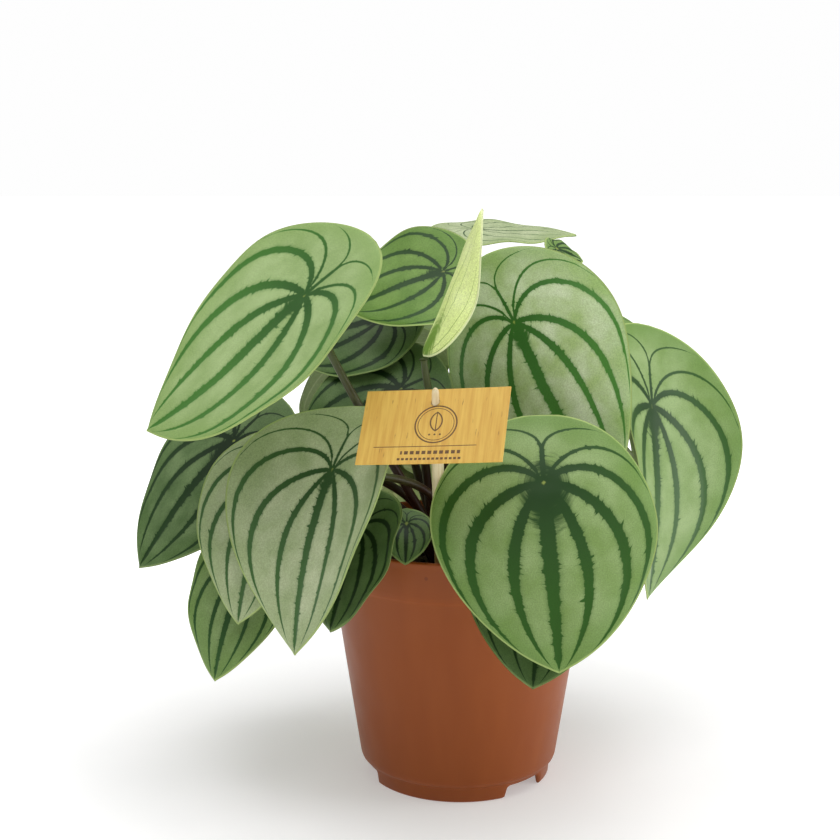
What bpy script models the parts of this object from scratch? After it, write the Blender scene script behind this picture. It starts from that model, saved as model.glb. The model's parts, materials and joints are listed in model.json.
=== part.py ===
"""Potted watermelon peperomia: moulded nursery pot, soil, crown, leaves, petioles, card and stake.

Metres, +Z up, -Y is the front.  The centre of the pot's foot stands on the origin.
"""
import math

import bmesh
import bpy
import numpy as np

MM = 0.001

# ---------------------------------------------------------------- pot, a 12 cm injection-moulded nursery pot
POT_HEIGHT = 112.0
RIM_RADIUS = 60.2
RIM_BAND = 18.0              # height of the thicker band under the lip
BAND_STEP = 0.9              # how far the band stands out from the wall
WALL = 1.4
WALL_RADIUS_TOP = 57.2       # outside, just under the band
WALL_RADIUS_FOOT = 44.4      # outside, at the shoulder above the foot ring
FOOT_HEIGHT = 8.5
FOOT_RADIUS = 41.4
FOOT_WALL = 1.6
FLOOR = 1.6
NOTCH_RISE = 5.0             # drain notches cut up into the foot ring
HOLE_INNER = 19.0            # the drain holes in the raised floor
HOLE_OUTER = 28.0
GATE_RADIUS = 7.0            # moulding gate boss under the floor, level with the foot
SEGMENTS = 64

# ---------------------------------------------------------------- soil and crown
SOIL_TOP = 97.0
SOIL_GAP = 0.3
CROWN_RADIUS = 11.0
CROWN_TOP = 116.0

# ---------------------------------------------------------------- card and stake
CARD_WIDTH = 57.5
CARD_HEIGHT = 33.2
CARD_THICK = 0.7
CARD_LEAN = 42.0             # degrees the top lies back
CARD_YAW = -20.0
CARD_ROLL = 6.0
CARD_CENTRE = (-12.4, -92.0, 175.6)
SLOT_WIDTH = 5.4
SLOT_HEIGHT = 6.2
SLOT_FROM_TOP = 2.6
STAKE_RADIUS = 2.5
STAKE_TIP_RADIUS = 1.8
STAKE_FOOT = (-8.5, -36.0, 98.8)
STAKE_TIP = (-11.7, -88.7, 190.4)

# ---------------------------------------------------------------- leaves
BLADE_THICK = 1.5
EYE = 0.29                   # share of the blade that lies behind the petiole
TIP_DRAW = 0.05              # how far the tip is drawn out
GAP = 0.3
PETIOLE_BASE = 2.1           # radius at the crown
PETIOLE_NECK = 1.4           # radius under the blade

# Each row: eye x y z, heading, slope, roll, length, width, droop, cup, sweep, base angle, base level.
# Heading turns from +X towards +Y, slope is down to the tip, roll is about the midrib,
# droop bends the midrib, cup bends the two sides, sweep curves the midrib sideways.
# The base angle and level say where on the crown the petiole starts: 0 low ring, 1 high ring, 2 top.
LEAVES = (
    ("leaf_01", -65, -40, 221, 190, 46, -22, 123, 110, -4, -12, -16, 220, 1),
    ("leaf_02", -7, 25, 225, 190, 15, -48, 66, 54, 20, -8, 0, 200, 2),
    ("leaf_03", -8, -34, 212, 22, -65, 172, 66, 42, 5, -30, 0, 262, 2),
    ("leaf_04", 8, 78, 241, 4, 0, 9, 72, 54, 6, 4, 0, 92, 2),
    ("leaf_05", 43, 14, 236, 20, 20, 40, 21, 18, 10, 20, 0, 8, 1),
    ("leaf_06", 24, -20, 208, -56, 62, 56, 114, 86, 14, 34, 24, 324, 2),
    ("leaf_07", 86, 20, 165, -51, 73, -15, 126, 110, 14, -40, -30, 354, 0),
    ("leaf_08", 32, -77, 150, -88, 56, 0, 105, 92, 18, 22, 4, 304, 1),
    ("leaf_09", 34, -66, 116, -104, 50, 0, 76, 64, 10, -8, 0, 296, 0),
    ("leaf_10", -52, -57, 151, -130, 54, 6, 108, 94, 26, -34, 6, 250, 1),
    ("leaf_11", -79, -28, 141, -124, 54, 2, 90, 70, 22, -14, 0, 210, 0),
    ("leaf_12", -102, 16, 149, 201, 42, -22, 102, 84, 22, 10, 0, 186, 1),
    ("leaf_13", -93, -20, 103, -124, 55, 0, 76, 58, 20, 10, 0, 188, 0),
    ("leaf_14", -42, -58, 127, -128, 56, 4, 62, 54, 16, -24, 0, 236, 0),
    ("leaf_16", -23, -51, 127, -92, 42, 0, 27, 22, 10, 6, 0, 262, 0),
    ("leaf_17", -26, 9, 174, 185, 24, -42, 78, 68, 20, 10, 0, 160, 1),
    ("leaf_18", -34, 36, 203, 165, 14, -40, 74, 62, 14, 10, 0, 140, 1),
    ("leaf_20", 68, 66, 194, -60, 35, 0, 66, 60, 20, 10, 0, 56, 1),
    ("leaf_21", -38, 66, 180, 120, 46, 0, 96, 80, 24, 20, 0, 118, 1),
    ("leaf_22", 18, 90, 154, 80, 50, 0, 102, 86, 24, 20, 0, 72, 0),
    ("leaf_23", 62, 62, 142, 42, 50, 0, 98, 80, 24, 20, 0, 40, 0),
    ("leaf_24", -82, 56, 118, 145, 58, 0, 90, 78, 20, 16, 0, 154, 0),
    ("leaf_19", 2, 84, 204, 88, 28, 0, 86, 70, 24, 20, 0, 88, 1),
    ("leaf_15", -28, 92, 122, 106, 58, 0, 80, 66, 22, 20, 0, 110, 0),
)

# The petioles that have to bend round something: first and last handle, in mm.
# The young, still folded leaf 03 is held at the low end of its blade, which is the third point.
BENDS = {
    "leaf_01": ((-30, -28, 150), (-58, -33, 196)),
    "leaf_02": ((2, 2, 150), (-4, 44, 207)),
    "leaf_03": ((-6, -14, 150), (-14, -32, 174), (-15.8, -35.2, 192.6)),
    "leaf_04": ((18, 16, 212), (8, 74, 225)),
    "leaf_05": ((30, 6, 140), (42, 8, 205)),
    "leaf_13": ((-34, -11, 164), (-82, -6, 94)),
    "leaf_18": ((-26, 33, 149), (-31, 40, 185)),
    "leaf_19": ((-2, 36, 150), (2, 70, 188)),
    "leaf_20": ((14, 24, 165), (60, 76, 176)),
}


def clear_scene():
    """Take away whatever the scene starts with."""
    for obj in list(bpy.data.objects):
        bpy.data.objects.remove(obj, do_unlink=True)


def material(name, colour, roughness):
    """Return a new Principled material with a plain base colour."""
    mat = bpy.data.materials.new(name)
    mat.use_nodes = True
    shader = mat.node_tree.nodes["Principled BSDF"]
    shader.inputs["Base Color"].default_value = (*colour, 1.0)
    shader.inputs["Roughness"].default_value = roughness
    mat.diffuse_color = (*colour, 1.0)
    return mat


def add_solid(name, verts, faces, colour, roughness=0.5):
    """Add one closed body from points in millimetres and return its object."""
    mesh = bpy.data.meshes.new(name)
    mesh.from_pydata([tuple(c * MM for c in v) for v in verts], [], faces)
    bm = bmesh.new()
    bm.from_mesh(mesh)
    bmesh.ops.remove_doubles(bm, verts=bm.verts, dist=1e-6)
    bmesh.ops.recalc_face_normals(bm, faces=bm.faces)
    bm.to_mesh(mesh)
    bm.free()
    mesh.materials.append(material(name + "_finish", colour, roughness))
    obj = bpy.data.objects.new(name, mesh)
    bpy.context.scene.collection.objects.link(obj)
    return obj


# ---------------------------------------------------------------- pot
def ring(radius, height):
    """Return one ring of points; height is a number or a function of the angle."""
    points = []
    for i in range(SEGMENTS):
        a = 2 * math.pi * i / SEGMENTS
        z = height(a) if callable(height) else height
        points.append((radius * math.cos(a), radius * math.sin(a), z))
    return points


def foot_edge(angle):
    """Height of the foot's lower edge: three drain notches are cut up into it."""
    for centre in (-46.0, 74.0, 194.0):
        off = abs((math.degrees(angle) - centre + 180.0) % 360.0 - 180.0)
        if off < 16.0:
            return NOTCH_RISE * min(1.0, (16.0 - off) / 6.0)
    return 0.0


def wall_radius(height):
    """Outside radius of the tapering wall at a height."""
    t = (height - FOOT_HEIGHT) / (POT_HEIGHT - RIM_BAND - FOOT_HEIGHT)
    return WALL_RADIUS_FOOT + (WALL_RADIUS_TOP - WALL_RADIUS_FOOT) * t


def pot():
    """One moulded pot: foot ring, wall, rim band, raised floor with drain holes and a gate boss."""
    top = POT_HEIGHT - RIM_BAND
    band = wall_radius(top) + BAND_STEP
    floor_top = FOOT_HEIGHT + 1.0
    floor_low = floor_top - FLOOR
    inner_foot = FOOT_RADIUS - FOOT_WALL
    outline = [
        (GATE_RADIUS, floor_low), (HOLE_INNER, floor_low), (HOLE_OUTER, floor_low),
        (inner_foot - 0.6, floor_low), (inner_foot, foot_edge), (FOOT_RADIUS, foot_edge),
        (FOOT_RADIUS + 1.1, FOOT_HEIGHT - 1.0), (WALL_RADIUS_FOOT, FOOT_HEIGHT),
        (wall_radius(36.0), 36.0), (wall_radius(65.0), 65.0), (wall_radius(top), top),
        (band, top + 0.7), (RIM_RADIUS - 0.3, POT_HEIGHT - 1.2), (RIM_RADIUS - 0.8, POT_HEIGHT - 0.2),
        (RIM_RADIUS - 1.4, POT_HEIGHT), (RIM_RADIUS - 2.0, POT_HEIGHT - 0.3),
        (RIM_RADIUS - 2.3, POT_HEIGHT - 1.2), (band - 2.0, top + 2.0),
        (wall_radius(top - 2.0) - WALL, top - 2.0), (wall_radius(50.0) - WALL, 50.0),
        (wall_radius(floor_top + 2.0) - WALL, floor_top + 2.0), (WALL_RADIUS_FOOT - WALL - 1.6, floor_top),
        (HOLE_OUTER, floor_top), (HOLE_INNER, floor_top), (GATE_RADIUS, floor_top),
    ]
    verts = []
    for radius, height in outline:
        verts += ring(radius, height)
    faces = []
    rows = len(outline)
    low_row, high_row = 1, rows - 3

    def open_sector(i):
        return i % (SEGMENTS // 4) < SEGMENTS // 8

    def quad(r0, r1, i):
        j = (i + 1) % SEGMENTS
        return (r0 * SEGMENTS + i, r0 * SEGMENTS + j, r1 * SEGMENTS + j, r1 * SEGMENTS + i)

    for row in range(rows - 1):
        for i in range(SEGMENTS):
            if row in (low_row, high_row) and open_sector(i):
                continue
            faces.append(quad(row, row + 1, i))
    # walls of the drain holes
    for i in range(SEGMENTS):
        j = (i + 1) % SEGMENTS
        if open_sector(i):
            faces.append(quad(low_row, high_row + 1, i))
            faces.append(quad(low_row + 1, high_row, i))
        if open_sector(i) != open_sector(j):
            faces.append((low_row * SEGMENTS + j, (low_row + 1) * SEGMENTS + j,
                          high_row * SEGMENTS + j, (high_row + 1) * SEGMENTS + j))
    # gate boss: down from the underside to the level of the foot, closed by two discs
    base = len(verts)
    verts += ring(GATE_RADIUS - 1.0, 0.6) + ring(GATE_RADIUS - 1.6, 0.0)
    first = base // SEGMENTS
    for i in range(SEGMENTS):
        faces.append(quad(0, first, i))
        faces.append(quad(first, first + 1, i))
    faces.append(tuple(base + SEGMENTS + i for i in range(SEGMENTS)))
    faces.append(tuple((rows - 1) * SEGMENTS + i for i in range(SEGMENTS)))
    return add_solid("pot", verts, faces, (0.36, 0.12, 0.045), 0.42)


def soil():
    """A plug of compost that fills the pot to just under the rim band's top."""
    low = FOOT_HEIGHT + 1.0 + SOIL_GAP + 0.3
    outline = [(wall_radius(low) - WALL - 3.4, low)]
    for height in (low + 3.5, 50.0, 90.0):
        outline.append((wall_radius(height) - WALL - SOIL_GAP - 0.3, height))
    outline += [(wall_radius(90.0) - WALL - 0.6, SOIL_TOP - 1.5), (50.0, SOIL_TOP - 0.5), (20.0, SOIL_TOP)]
    verts, faces = [], []
    count = 40
    for radius, height in outline:
        for i in range(count):
            a = 2 * math.pi * i / count
            verts.append((radius * math.cos(a), radius * math.sin(a), height))
    for row in range(len(outline) - 1):
        for i in range(count):
            j = (i + 1) % count
            faces.append((row * count + i, row * count + j, (row + 1) * count + j, (row + 1) * count + i))
    faces.append(tuple(range(count)))
    faces.append(tuple((len(outline) - 1) * count + i for i in range(count)))
    return add_solid("soil", verts, faces, (0.05, 0.03, 0.02), 0.95)


def crown():
    """The short, thick stem the petioles leave from."""
    outline = [(7.5, SOIL_TOP + GAP), (10.2, SOIL_TOP + 3.0), (CROWN_RADIUS, SOIL_TOP + 9.0),
               (CROWN_RADIUS, SOIL_TOP + 15.0), (8.6, CROWN_TOP)]
    verts, faces = [], []
    count = 20
    for radius, height in outline:
        for i in range(count):
            a = 2 * math.pi * i / count
            verts.append((radius * math.cos(a), radius * math.sin(a), height))
    for row in range(len(outline) - 1):
        for i in range(count):
            j = (i + 1) % count
            faces.append((row * count + i, row * count + j, (row + 1) * count + j, (row + 1) * count + i))
    faces.append(tuple(range(count)))
    faces.append(tuple((len(outline) - 1) * count + i for i in range(count)))
    return add_solid("crown", verts, faces, (0.14, 0.10, 0.05), 0.7)


# ---------------------------------------------------------------- blades
def leaf_axes(heading, slope, roll):
    """Return the unit vectors to the tip, to the left side and out of the upper face."""
    h, s, r = (math.radians(a) for a in (heading, slope, roll))
    tip = np.array([math.cos(h) * math.cos(s), math.sin(h) * math.cos(s), -math.sin(s)])
    side = np.array([-math.sin(h), math.cos(h), 0.0])
    up = np.cross(tip, side)
    return tip, side * math.cos(r) + up * math.sin(r), up * math.cos(r) - side * math.sin(r)


def safe(value):
    """Keep a bend from being exactly flat."""
    return value if abs(value) > 1e-6 else 1e-6


def blade_point(row, u, v, lift=0.0):
    """Return the point of a bent blade at u along the midrib and v to the side, in mm from the eye."""
    _, x, y, z, heading, slope, roll, length, width, droop, cup, sweep, _, _ = row
    tip, side, up = leaf_axes(heading, slope, roll)
    reach = length * (1.0 - EYE)
    ks = safe(math.radians(sweep) / reach)
    a = math.sin(ks * u) / ks - v * math.sin(ks * u)
    b = (1.0 - math.cos(ks * u)) / ks + v * math.cos(ks * u)
    ku = safe(math.radians(droop) / reach)
    kv = safe(math.radians(cup) / (0.5 * width))
    lean = math.sin(ku * a) * tip + math.cos(ku * a) * up
    along = math.cos(ku * a) * tip - math.sin(ku * a) * up
    point = (np.array([x, y, z], float) + math.sin(ku * a) / ku * tip - (1.0 - math.cos(ku * a)) / ku * up
             + math.sin(kv * b) / kv * side - (1.0 - math.cos(kv * b)) / kv * lean)
    across = math.cos(kv * b) * side - math.sin(kv * b) * lean
    normal = np.cross(along, across)
    return point + normal / np.linalg.norm(normal) * lift


def half_width(t):
    """Share of the greatest half width at t, from the basal end (0) to the tip (1)."""
    peak = 0.5 / 1.22
    return (t ** 0.5 * (1.0 - t) ** 0.72) / (peak ** 0.5 * (1.0 - peak) ** 0.72)


def blade(row, stations=11, columns=6):
    """One leaf blade: a thin bent solid with a round base and a drawn-out tip."""
    length, width = row[7], row[8]
    half = BLADE_THICK / 2.0
    verts, index = [], {}
    for k in range(1, stations):
        t = 0.5 - 0.5 * math.cos(math.pi * k / stations)
        u = length * (t * (1 - TIP_DRAW) + TIP_DRAW * t ** 14 - EYE)
        w = 0.5 * width * half_width(t)
        for c in range(columns + 1):
            s = -1.0 + 2.0 * c / columns
            thin = 0.55 if c in (0, columns) else 1.0
            for face, sign in (("top", 1.0), ("low", -1.0)):
                index[(face, k, c)] = len(verts)
                verts.append(blade_point(row, u, w * s, sign * half * thin))
    ends = {}
    for name, u in (("base", -EYE * length), ("tip", (1 - EYE) * length)):
        for face, sign in (("top", 1.0), ("low", -1.0)):
            ends[(face, name)] = len(verts)
            verts.append(blade_point(row, u, 0.0, sign * half * 0.5))
    faces = []
    for face, flip in (("top", False), ("low", True)):
        quads = []
        for k in range(1, stations - 1):
            for c in range(columns):
                quads.append((index[(face, k, c)], index[(face, k + 1, c)],
                              index[(face, k + 1, c + 1)], index[(face, k, c + 1)]))
        for c in range(columns):
            quads.append((ends[(face, "base")], index[(face, 1, c)], index[(face, 1, c + 1)]))
            quads.append((ends[(face, "tip")], index[(face, stations - 1, c + 1)],
                          index[(face, stations - 1, c)]))
        faces += [tuple(reversed(q)) if flip else q for q in quads]
    for c in (0, columns):
        chain = [("base", None)] + [(k, c) for k in range(1, stations)] + [("tip", None)]
        for (k0, c0), (k1, c1) in zip(chain[:-1], chain[1:]):
            a0 = ends[("top", k0)] if c0 is None else index[("top", k0, c0)]
            b0 = ends[("low", k0)] if c0 is None else index[("low", k0, c0)]
            a1 = ends[("top", k1)] if c1 is None else index[("top", k1, c1)]
            b1 = ends[("low", k1)] if c1 is None else index[("low", k1, c1)]
            faces.append((a0, b0, b1, a1))
    return add_solid(row[0], [tuple(v) for v in verts], faces, (0.19, 0.35, 0.13), 0.4)


# ---------------------------------------------------------------- petioles
def petiole_path(row, count=11):
    """Return the middle line of a petiole, from the crown to just under the eye of its blade."""
    eye = np.array(row[1:4], float)
    up = leaf_axes(row[4], row[5], row[6])[2]
    turn, level = math.radians(row[12]), row[13]
    away = np.array([math.cos(turn), math.sin(turn), 0.0])
    reach = CROWN_RADIUS + GAP + PETIOLE_BASE
    if level == 2:
        start = away * 5.4 + np.array([0.0, 0.0, CROWN_TOP + GAP + 0.8])
        first = start + np.array([0.0, 0.0, 0.5 * (eye[2] - start[2])])
    else:
        start = away * reach + np.array([0.0, 0.0, SOIL_TOP + (4.0 if level == 0 else 12.5)])
        rise = max(30.0, (0.75 if level == 0 else 0.9) * (eye[2] - start[2]))
        first = start + away * (8.0 if level == 0 else 3.0) + np.array([0.0, 0.0, rise])
    end = eye - up * (BLADE_THICK / 2.0 + GAP + 0.7)
    last = end - up * 8.0
    if row[0] in BENDS:
        first, last = (np.array(p, float) for p in BENDS[row[0]][:2])
        if len(BENDS[row[0]]) == 3:
            end = np.array(BENDS[row[0]][2], float)
    path = []
    for k in range(count):
        t = k / (count - 1)
        path.append((1 - t) ** 3 * start + 3 * (1 - t) ** 2 * t * first
                    + 3 * (1 - t) * t ** 2 * last + t ** 3 * end)
    return path


def tube(path, radii, sides=6):
    """Return the points and faces of a closed tube along a path."""
    verts, faces = [], []
    reference = np.array([0.0, 0.0, 1.0])
    for k, point in enumerate(path):
        ahead = path[min(k + 1, len(path) - 1)] - path[max(k - 1, 0)]
        ahead = ahead / np.linalg.norm(ahead)
        if k == 0 and abs(ahead @ reference) > 0.9:
            reference = np.array([1.0, 0.0, 0.0])
        reference = reference - ahead * (reference @ ahead)
        reference = reference / np.linalg.norm(reference)
        other = np.cross(ahead, reference)
        for i in range(sides):
            a = 2 * math.pi * i / sides
            verts.append(tuple(point + radii[k] * (math.cos(a) * reference + math.sin(a) * other)))
    for k in range(len(path) - 1):
        for i in range(sides):
            j = (i + 1) % sides
            faces.append((k * sides + i, k * sides + j, (k + 1) * sides + j, (k + 1) * sides + i))
    faces.append(tuple(range(sides)))
    faces.append(tuple((len(path) - 1) * sides + i for i in range(sides)))
    return verts, faces


def petiole(row):
    """One petiole: a tapered, bowed stalk."""
    path = petiole_path(row)
    small = 0.6 if row[7] < 60 else 1.0
    radii = [small * (PETIOLE_BASE + (PETIOLE_NECK - PETIOLE_BASE) * k / (len(path) - 1))
             for k in range(len(path))]
    verts, faces = tube(path, radii)
    return add_solid(row[0].replace("leaf", "petiole"), verts, faces, (0.30, 0.07, 0.05), 0.45)


# ---------------------------------------------------------------- card and stake
def turned(point, centre):
    """Place a point of the card, given across, up and out of its face."""
    lean, yaw, roll = (math.radians(a) for a in (CARD_LEAN, CARD_YAW, CARD_ROLL))
    x = point[0] * math.cos(roll) - point[1] * math.sin(roll)
    z = point[0] * math.sin(roll) + point[1] * math.cos(roll)
    y = -point[2]
    y, z = y * math.cos(lean) + z * math.sin(lean), z * math.cos(lean) - y * math.sin(lean)
    x, y = x * math.cos(yaw) - y * math.sin(yaw), x * math.sin(yaw) + y * math.cos(yaw)
    return (centre[0] + x, centre[1] + y, centre[2] + z)


def card():
    """A thin card with a slot near its top edge for the stake."""
    w, h = CARD_WIDTH / 2, CARD_HEIGHT / 2
    sx, top = SLOT_WIDTH / 2, h - SLOT_FROM_TOP
    xs = (-w, -sx, sx, w)
    ys = (-h, top - SLOT_HEIGHT, top, h)
    verts, faces = [], []
    for out in (-CARD_THICK / 2, CARD_THICK / 2):
        for y in ys:
            for x in xs:
                verts.append(turned((x, y, out), CARD_CENTRE))
    for layer in (0, 1):
        for r in range(3):
            for c in range(3):
                if (r, c) != (1, 1):
                    i = layer * 16 + r * 4 + c
                    faces.append((i, i + 1, i + 5, i + 4))
    rim = [0, 1, 2, 3, 7, 11, 15, 14, 13, 12, 8, 4]
    slot = [5, 6, 10, 9]
    for loop in (rim, slot):
        for a, b in zip(loop, loop[1:] + loop[:1]):
            faces.append((a, b, b + 16, a + 16))
    return add_solid("label_card", verts, faces, (0.62, 0.42, 0.14), 0.6)


def stake():
    """A round peg with a domed tip, standing in the soil and passing through the card's slot."""
    foot, tip = np.array(STAKE_FOOT, float), np.array(STAKE_TIP, float)
    ahead = (tip - foot) / np.linalg.norm(tip - foot)
    path = [foot + (tip - foot) * t for t in (0.0, 0.25, 0.5, 0.75, 0.97)]
    radii = [STAKE_RADIUS, STAKE_RADIUS, STAKE_RADIUS - 0.1, STAKE_TIP_RADIUS, STAKE_TIP_RADIUS]
    for step, share in ((0.9, 0.92), (1.7, 0.7), (2.2, 0.35)):
        path.append(path[4] + ahead * step)
        radii.append(STAKE_TIP_RADIUS * share)
    verts, faces = tube(path, radii, 12)
    return add_solid("label_stake", verts, faces, (0.80, 0.72, 0.52), 0.5)


def main():
    """Build every piece of the potted plant."""
    clear_scene()
    pot()
    soil()
    crown()
    for row in LEAVES:
        blade(row)
        petiole(row)
    card()
    stake()


main()
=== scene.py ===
"""Watermelon peperomia in a moulded nursery pot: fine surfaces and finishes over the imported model.

Every size is in millimetres unless a name says otherwise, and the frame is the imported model's own.
"""
import json
import logging
import math
from dataclasses import dataclass, field
from enum import Enum
from typing import Any, Callable, Sequence

import bmesh
import bpy
import numpy as np
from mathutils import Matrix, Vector

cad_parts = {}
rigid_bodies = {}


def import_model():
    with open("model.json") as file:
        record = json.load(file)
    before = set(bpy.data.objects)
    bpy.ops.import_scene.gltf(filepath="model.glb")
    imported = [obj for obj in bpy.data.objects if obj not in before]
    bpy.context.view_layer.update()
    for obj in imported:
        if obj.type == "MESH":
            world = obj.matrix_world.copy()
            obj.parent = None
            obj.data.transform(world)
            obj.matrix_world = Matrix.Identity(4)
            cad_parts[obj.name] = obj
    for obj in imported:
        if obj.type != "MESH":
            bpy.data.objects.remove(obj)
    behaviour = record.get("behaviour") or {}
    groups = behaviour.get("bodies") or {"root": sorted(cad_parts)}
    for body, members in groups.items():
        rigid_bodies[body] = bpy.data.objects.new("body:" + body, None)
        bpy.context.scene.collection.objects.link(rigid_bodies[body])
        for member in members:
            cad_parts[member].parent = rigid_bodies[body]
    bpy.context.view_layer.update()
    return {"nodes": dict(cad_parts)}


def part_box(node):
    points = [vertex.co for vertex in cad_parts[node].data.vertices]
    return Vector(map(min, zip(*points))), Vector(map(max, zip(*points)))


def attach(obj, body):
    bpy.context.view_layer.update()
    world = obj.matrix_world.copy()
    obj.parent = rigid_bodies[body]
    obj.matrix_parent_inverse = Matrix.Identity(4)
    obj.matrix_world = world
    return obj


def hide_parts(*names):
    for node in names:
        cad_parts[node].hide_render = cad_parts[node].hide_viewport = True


LOG = logging.getLogger("peperomia")
MM = 0.001
HALF_SHARE = 0.44            # half width over length of the blade the vein plan is drawn on
BASE_POWER = 0.5             # how round a blade's basal end is
DRIP_SHARE = 0.03            # share of the blade over which the tip is drawn in to a point
DRIP_POWER = 0.45
WELD_GAP = 0.00002           # corners closer than this, in metres, are one
DEGENERATE = 0.00001         # edges shorter than this, in metres, are dissolved

# settings that several shader nodes share
RGBA = {"data_type": "RGBA"}
TINTED = {"data_type": "RGBA", "blend_type": "MULTIPLY"}
SMOOTH = {"interpolation_type": "SMOOTHSTEP"}


# ---------------------------------------------------------------- shared helpers
def linear(hex_colour: str) -> tuple[float, float, float, float]:
    """Turn an sRGB hex colour into linear RGBA.

    Args:
        hex_colour: six hex digits after a hash.

    Returns:
        The linear colour with full alpha.
    """
    parts = [int(hex_colour[k:k + 2], 16) / 255.0 for k in (1, 3, 5)]
    red, green, blue = (p / 12.92 if p <= 0.04045 else ((p + 0.055) / 1.055) ** 2.4 for p in parts)
    return red, green, blue, 1.0


def add_node(tree: bpy.types.NodeTree, kind: str, settings: dict[str, Any] | None = None,
             links: dict[Any, Any] | None = None, out: int = 0) -> Any:
    """Add one shader node with its settings and links.

    Args:
        tree: the node tree.
        kind: the node's type, without its ShaderNode prefix.
        settings: properties of the node.
        links: value or socket for each input, by name or number.
        out: number of the output that is wanted.

    Returns:
        The wanted output socket.
    """
    made = tree.nodes.new("ShaderNode" + kind)
    for name, value in (settings or {}).items():
        setattr(made, name, value)
    for name, value in (links or {}).items():
        if isinstance(value, bpy.types.NodeSocket):
            tree.links.new(value, made.inputs[name])
        else:
            made.inputs[name].default_value = value
    return made.outputs[out] if len(made.outputs) else made


def new_material(name: str) -> tuple[bpy.types.Material, bpy.types.NodeTree]:
    """Make an empty node material.

    Args:
        name: the material's name.

    Returns:
        The material and its empty node tree.
    """
    made = bpy.data.materials.new(name)
    made.use_nodes = True
    made.node_tree.nodes.clear()
    return made, made.node_tree


def close_material(tree: bpy.types.NodeTree, colour: Any, roughness: Any, bump: Any = None,
                   bump_mm: float = 0.05, **sockets: float) -> None:
    """Finish a material with one Principled shader.

    Args:
        tree: the material's node tree.
        colour: colour socket or value.
        roughness: roughness socket or value.
        bump: height socket, 0 to 1, or None.
        bump_mm: what a height of 1 stands for.
        sockets: plain values for other inputs, with underscores for spaces.
    """
    links = {"Base Color": colour, "Roughness": roughness}
    links.update({name.replace("_", " "): value for name, value in sockets.items()})
    if bump is not None:
        links["Normal"] = add_node(tree, "Bump", links={
            "Strength": 1.0, "Distance": bump_mm * MM, "Height": bump})
    shader = add_node(tree, "BsdfPrincipled", links=links)
    add_node(tree, "OutputMaterial", links={"Surface": shader})


def make_piece(name: str, points: np.ndarray, faces: Sequence[Sequence[int]],
               finishes: Sequence[bpy.types.Material], slots: Sequence[int] | None = None,
               fields: dict[str, np.ndarray] | None = None) -> bpy.types.Object:
    """Build one smooth mesh piece.

    Args:
        name: the piece's name.
        points: corners in mm, in the frame.
        faces: corner numbers of each face.
        finishes: the piece's materials.
        slots: material number of each face.
        fields: three numbers per corner, by attribute name, for the finishes to read.

    Returns:
        The new object.
    """
    mesh = bpy.data.meshes.new(name)
    mesh.from_pydata((np.asarray(points, float) * MM).tolist(), [], [tuple(f) for f in faces])
    for finish in finishes:
        mesh.materials.append(finish)
    mesh.polygons.foreach_set("use_smooth", [True] * len(mesh.polygons))
    if slots is not None:
        mesh.polygons.foreach_set("material_index", list(slots))
    for key, values in (fields or {}).items():
        layer = mesh.attributes.new(key, "FLOAT_VECTOR", "POINT")
        layer.data.foreach_set("vector", np.asarray(values, np.float32).ravel())
    mesh.update()
    obj = bpy.data.objects.new(name, mesh)
    bpy.context.scene.collection.objects.link(obj)
    return obj


def fit_in(obj: bpy.types.Object, slot: str, *nodes: str) -> None:
    """Let a piece ride on the one body and stand for its CAD nodes.

    Args:
        obj: the piece.
        slot: the record's material slot; not used.
        nodes: the CAD nodes it stands for.
    """
    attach(obj, "root")
    if nodes:
        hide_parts(*nodes)
    LOG.info("%s: %d faces for %s", obj.name, len(obj.data.polygons), ", ".join(nodes) or "detail")


def corners_of(node: bpy.types.Object) -> tuple[np.ndarray, np.ndarray]:
    """Read a CAD node.

    Args:
        node: the imported node.

    Returns:
        Its corners in mm without repeats, and its triangles.
    """
    mesh = node.data
    mesh.calc_loop_triangles()
    co = np.array([v.co[:] for v in mesh.vertices], float) / MM
    _, first, back = np.unique(np.round(co, 3), axis=0, return_index=True, return_inverse=True)
    tris = np.array([t.vertices[:] for t in mesh.loop_triangles])
    return co[first], back.reshape(-1)[tris]


def unit(vector: np.ndarray) -> np.ndarray:
    """Return the vector at length one."""
    return vector / max(float(np.linalg.norm(vector)), 1e-9)


def smooth_path(path: np.ndarray, count: int) -> np.ndarray:
    """Draw a smooth line through points.

    Args:
        path: the points, in order.
        count: how many points the smooth line has.

    Returns:
        The points of a Catmull-Rom line.
    """
    ends = np.vstack([2 * path[0] - path[1], path, 2 * path[-1] - path[-2]])
    made = []
    for x in np.linspace(0, len(path) - 1, count):
        k = min(int(x), len(path) - 2)
        t = x - k
        a, b, c, d = ends[k:k + 4]
        made.append(0.5 * (2 * b + (c - a) * t + (2 * a - 5 * b + 4 * c - d) * t ** 2
                           + (3 * b - a - 3 * c + d) * t ** 3))
    return np.array(made)


def bridge(rows: int, count: int) -> list[tuple[int, ...]]:
    """Join closed rings of corners, each to the next.

    Args:
        rows: how many rings there are.
        count: corners of each ring.

    Returns:
        The faces between the rings.
    """
    faces = []
    for row in range(rows - 1):
        for i in range(count):
            j = (i + 1) % count
            faces.append((row * count + i, row * count + j, (row + 1) * count + j, (row + 1) * count + i))
    return faces


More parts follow.
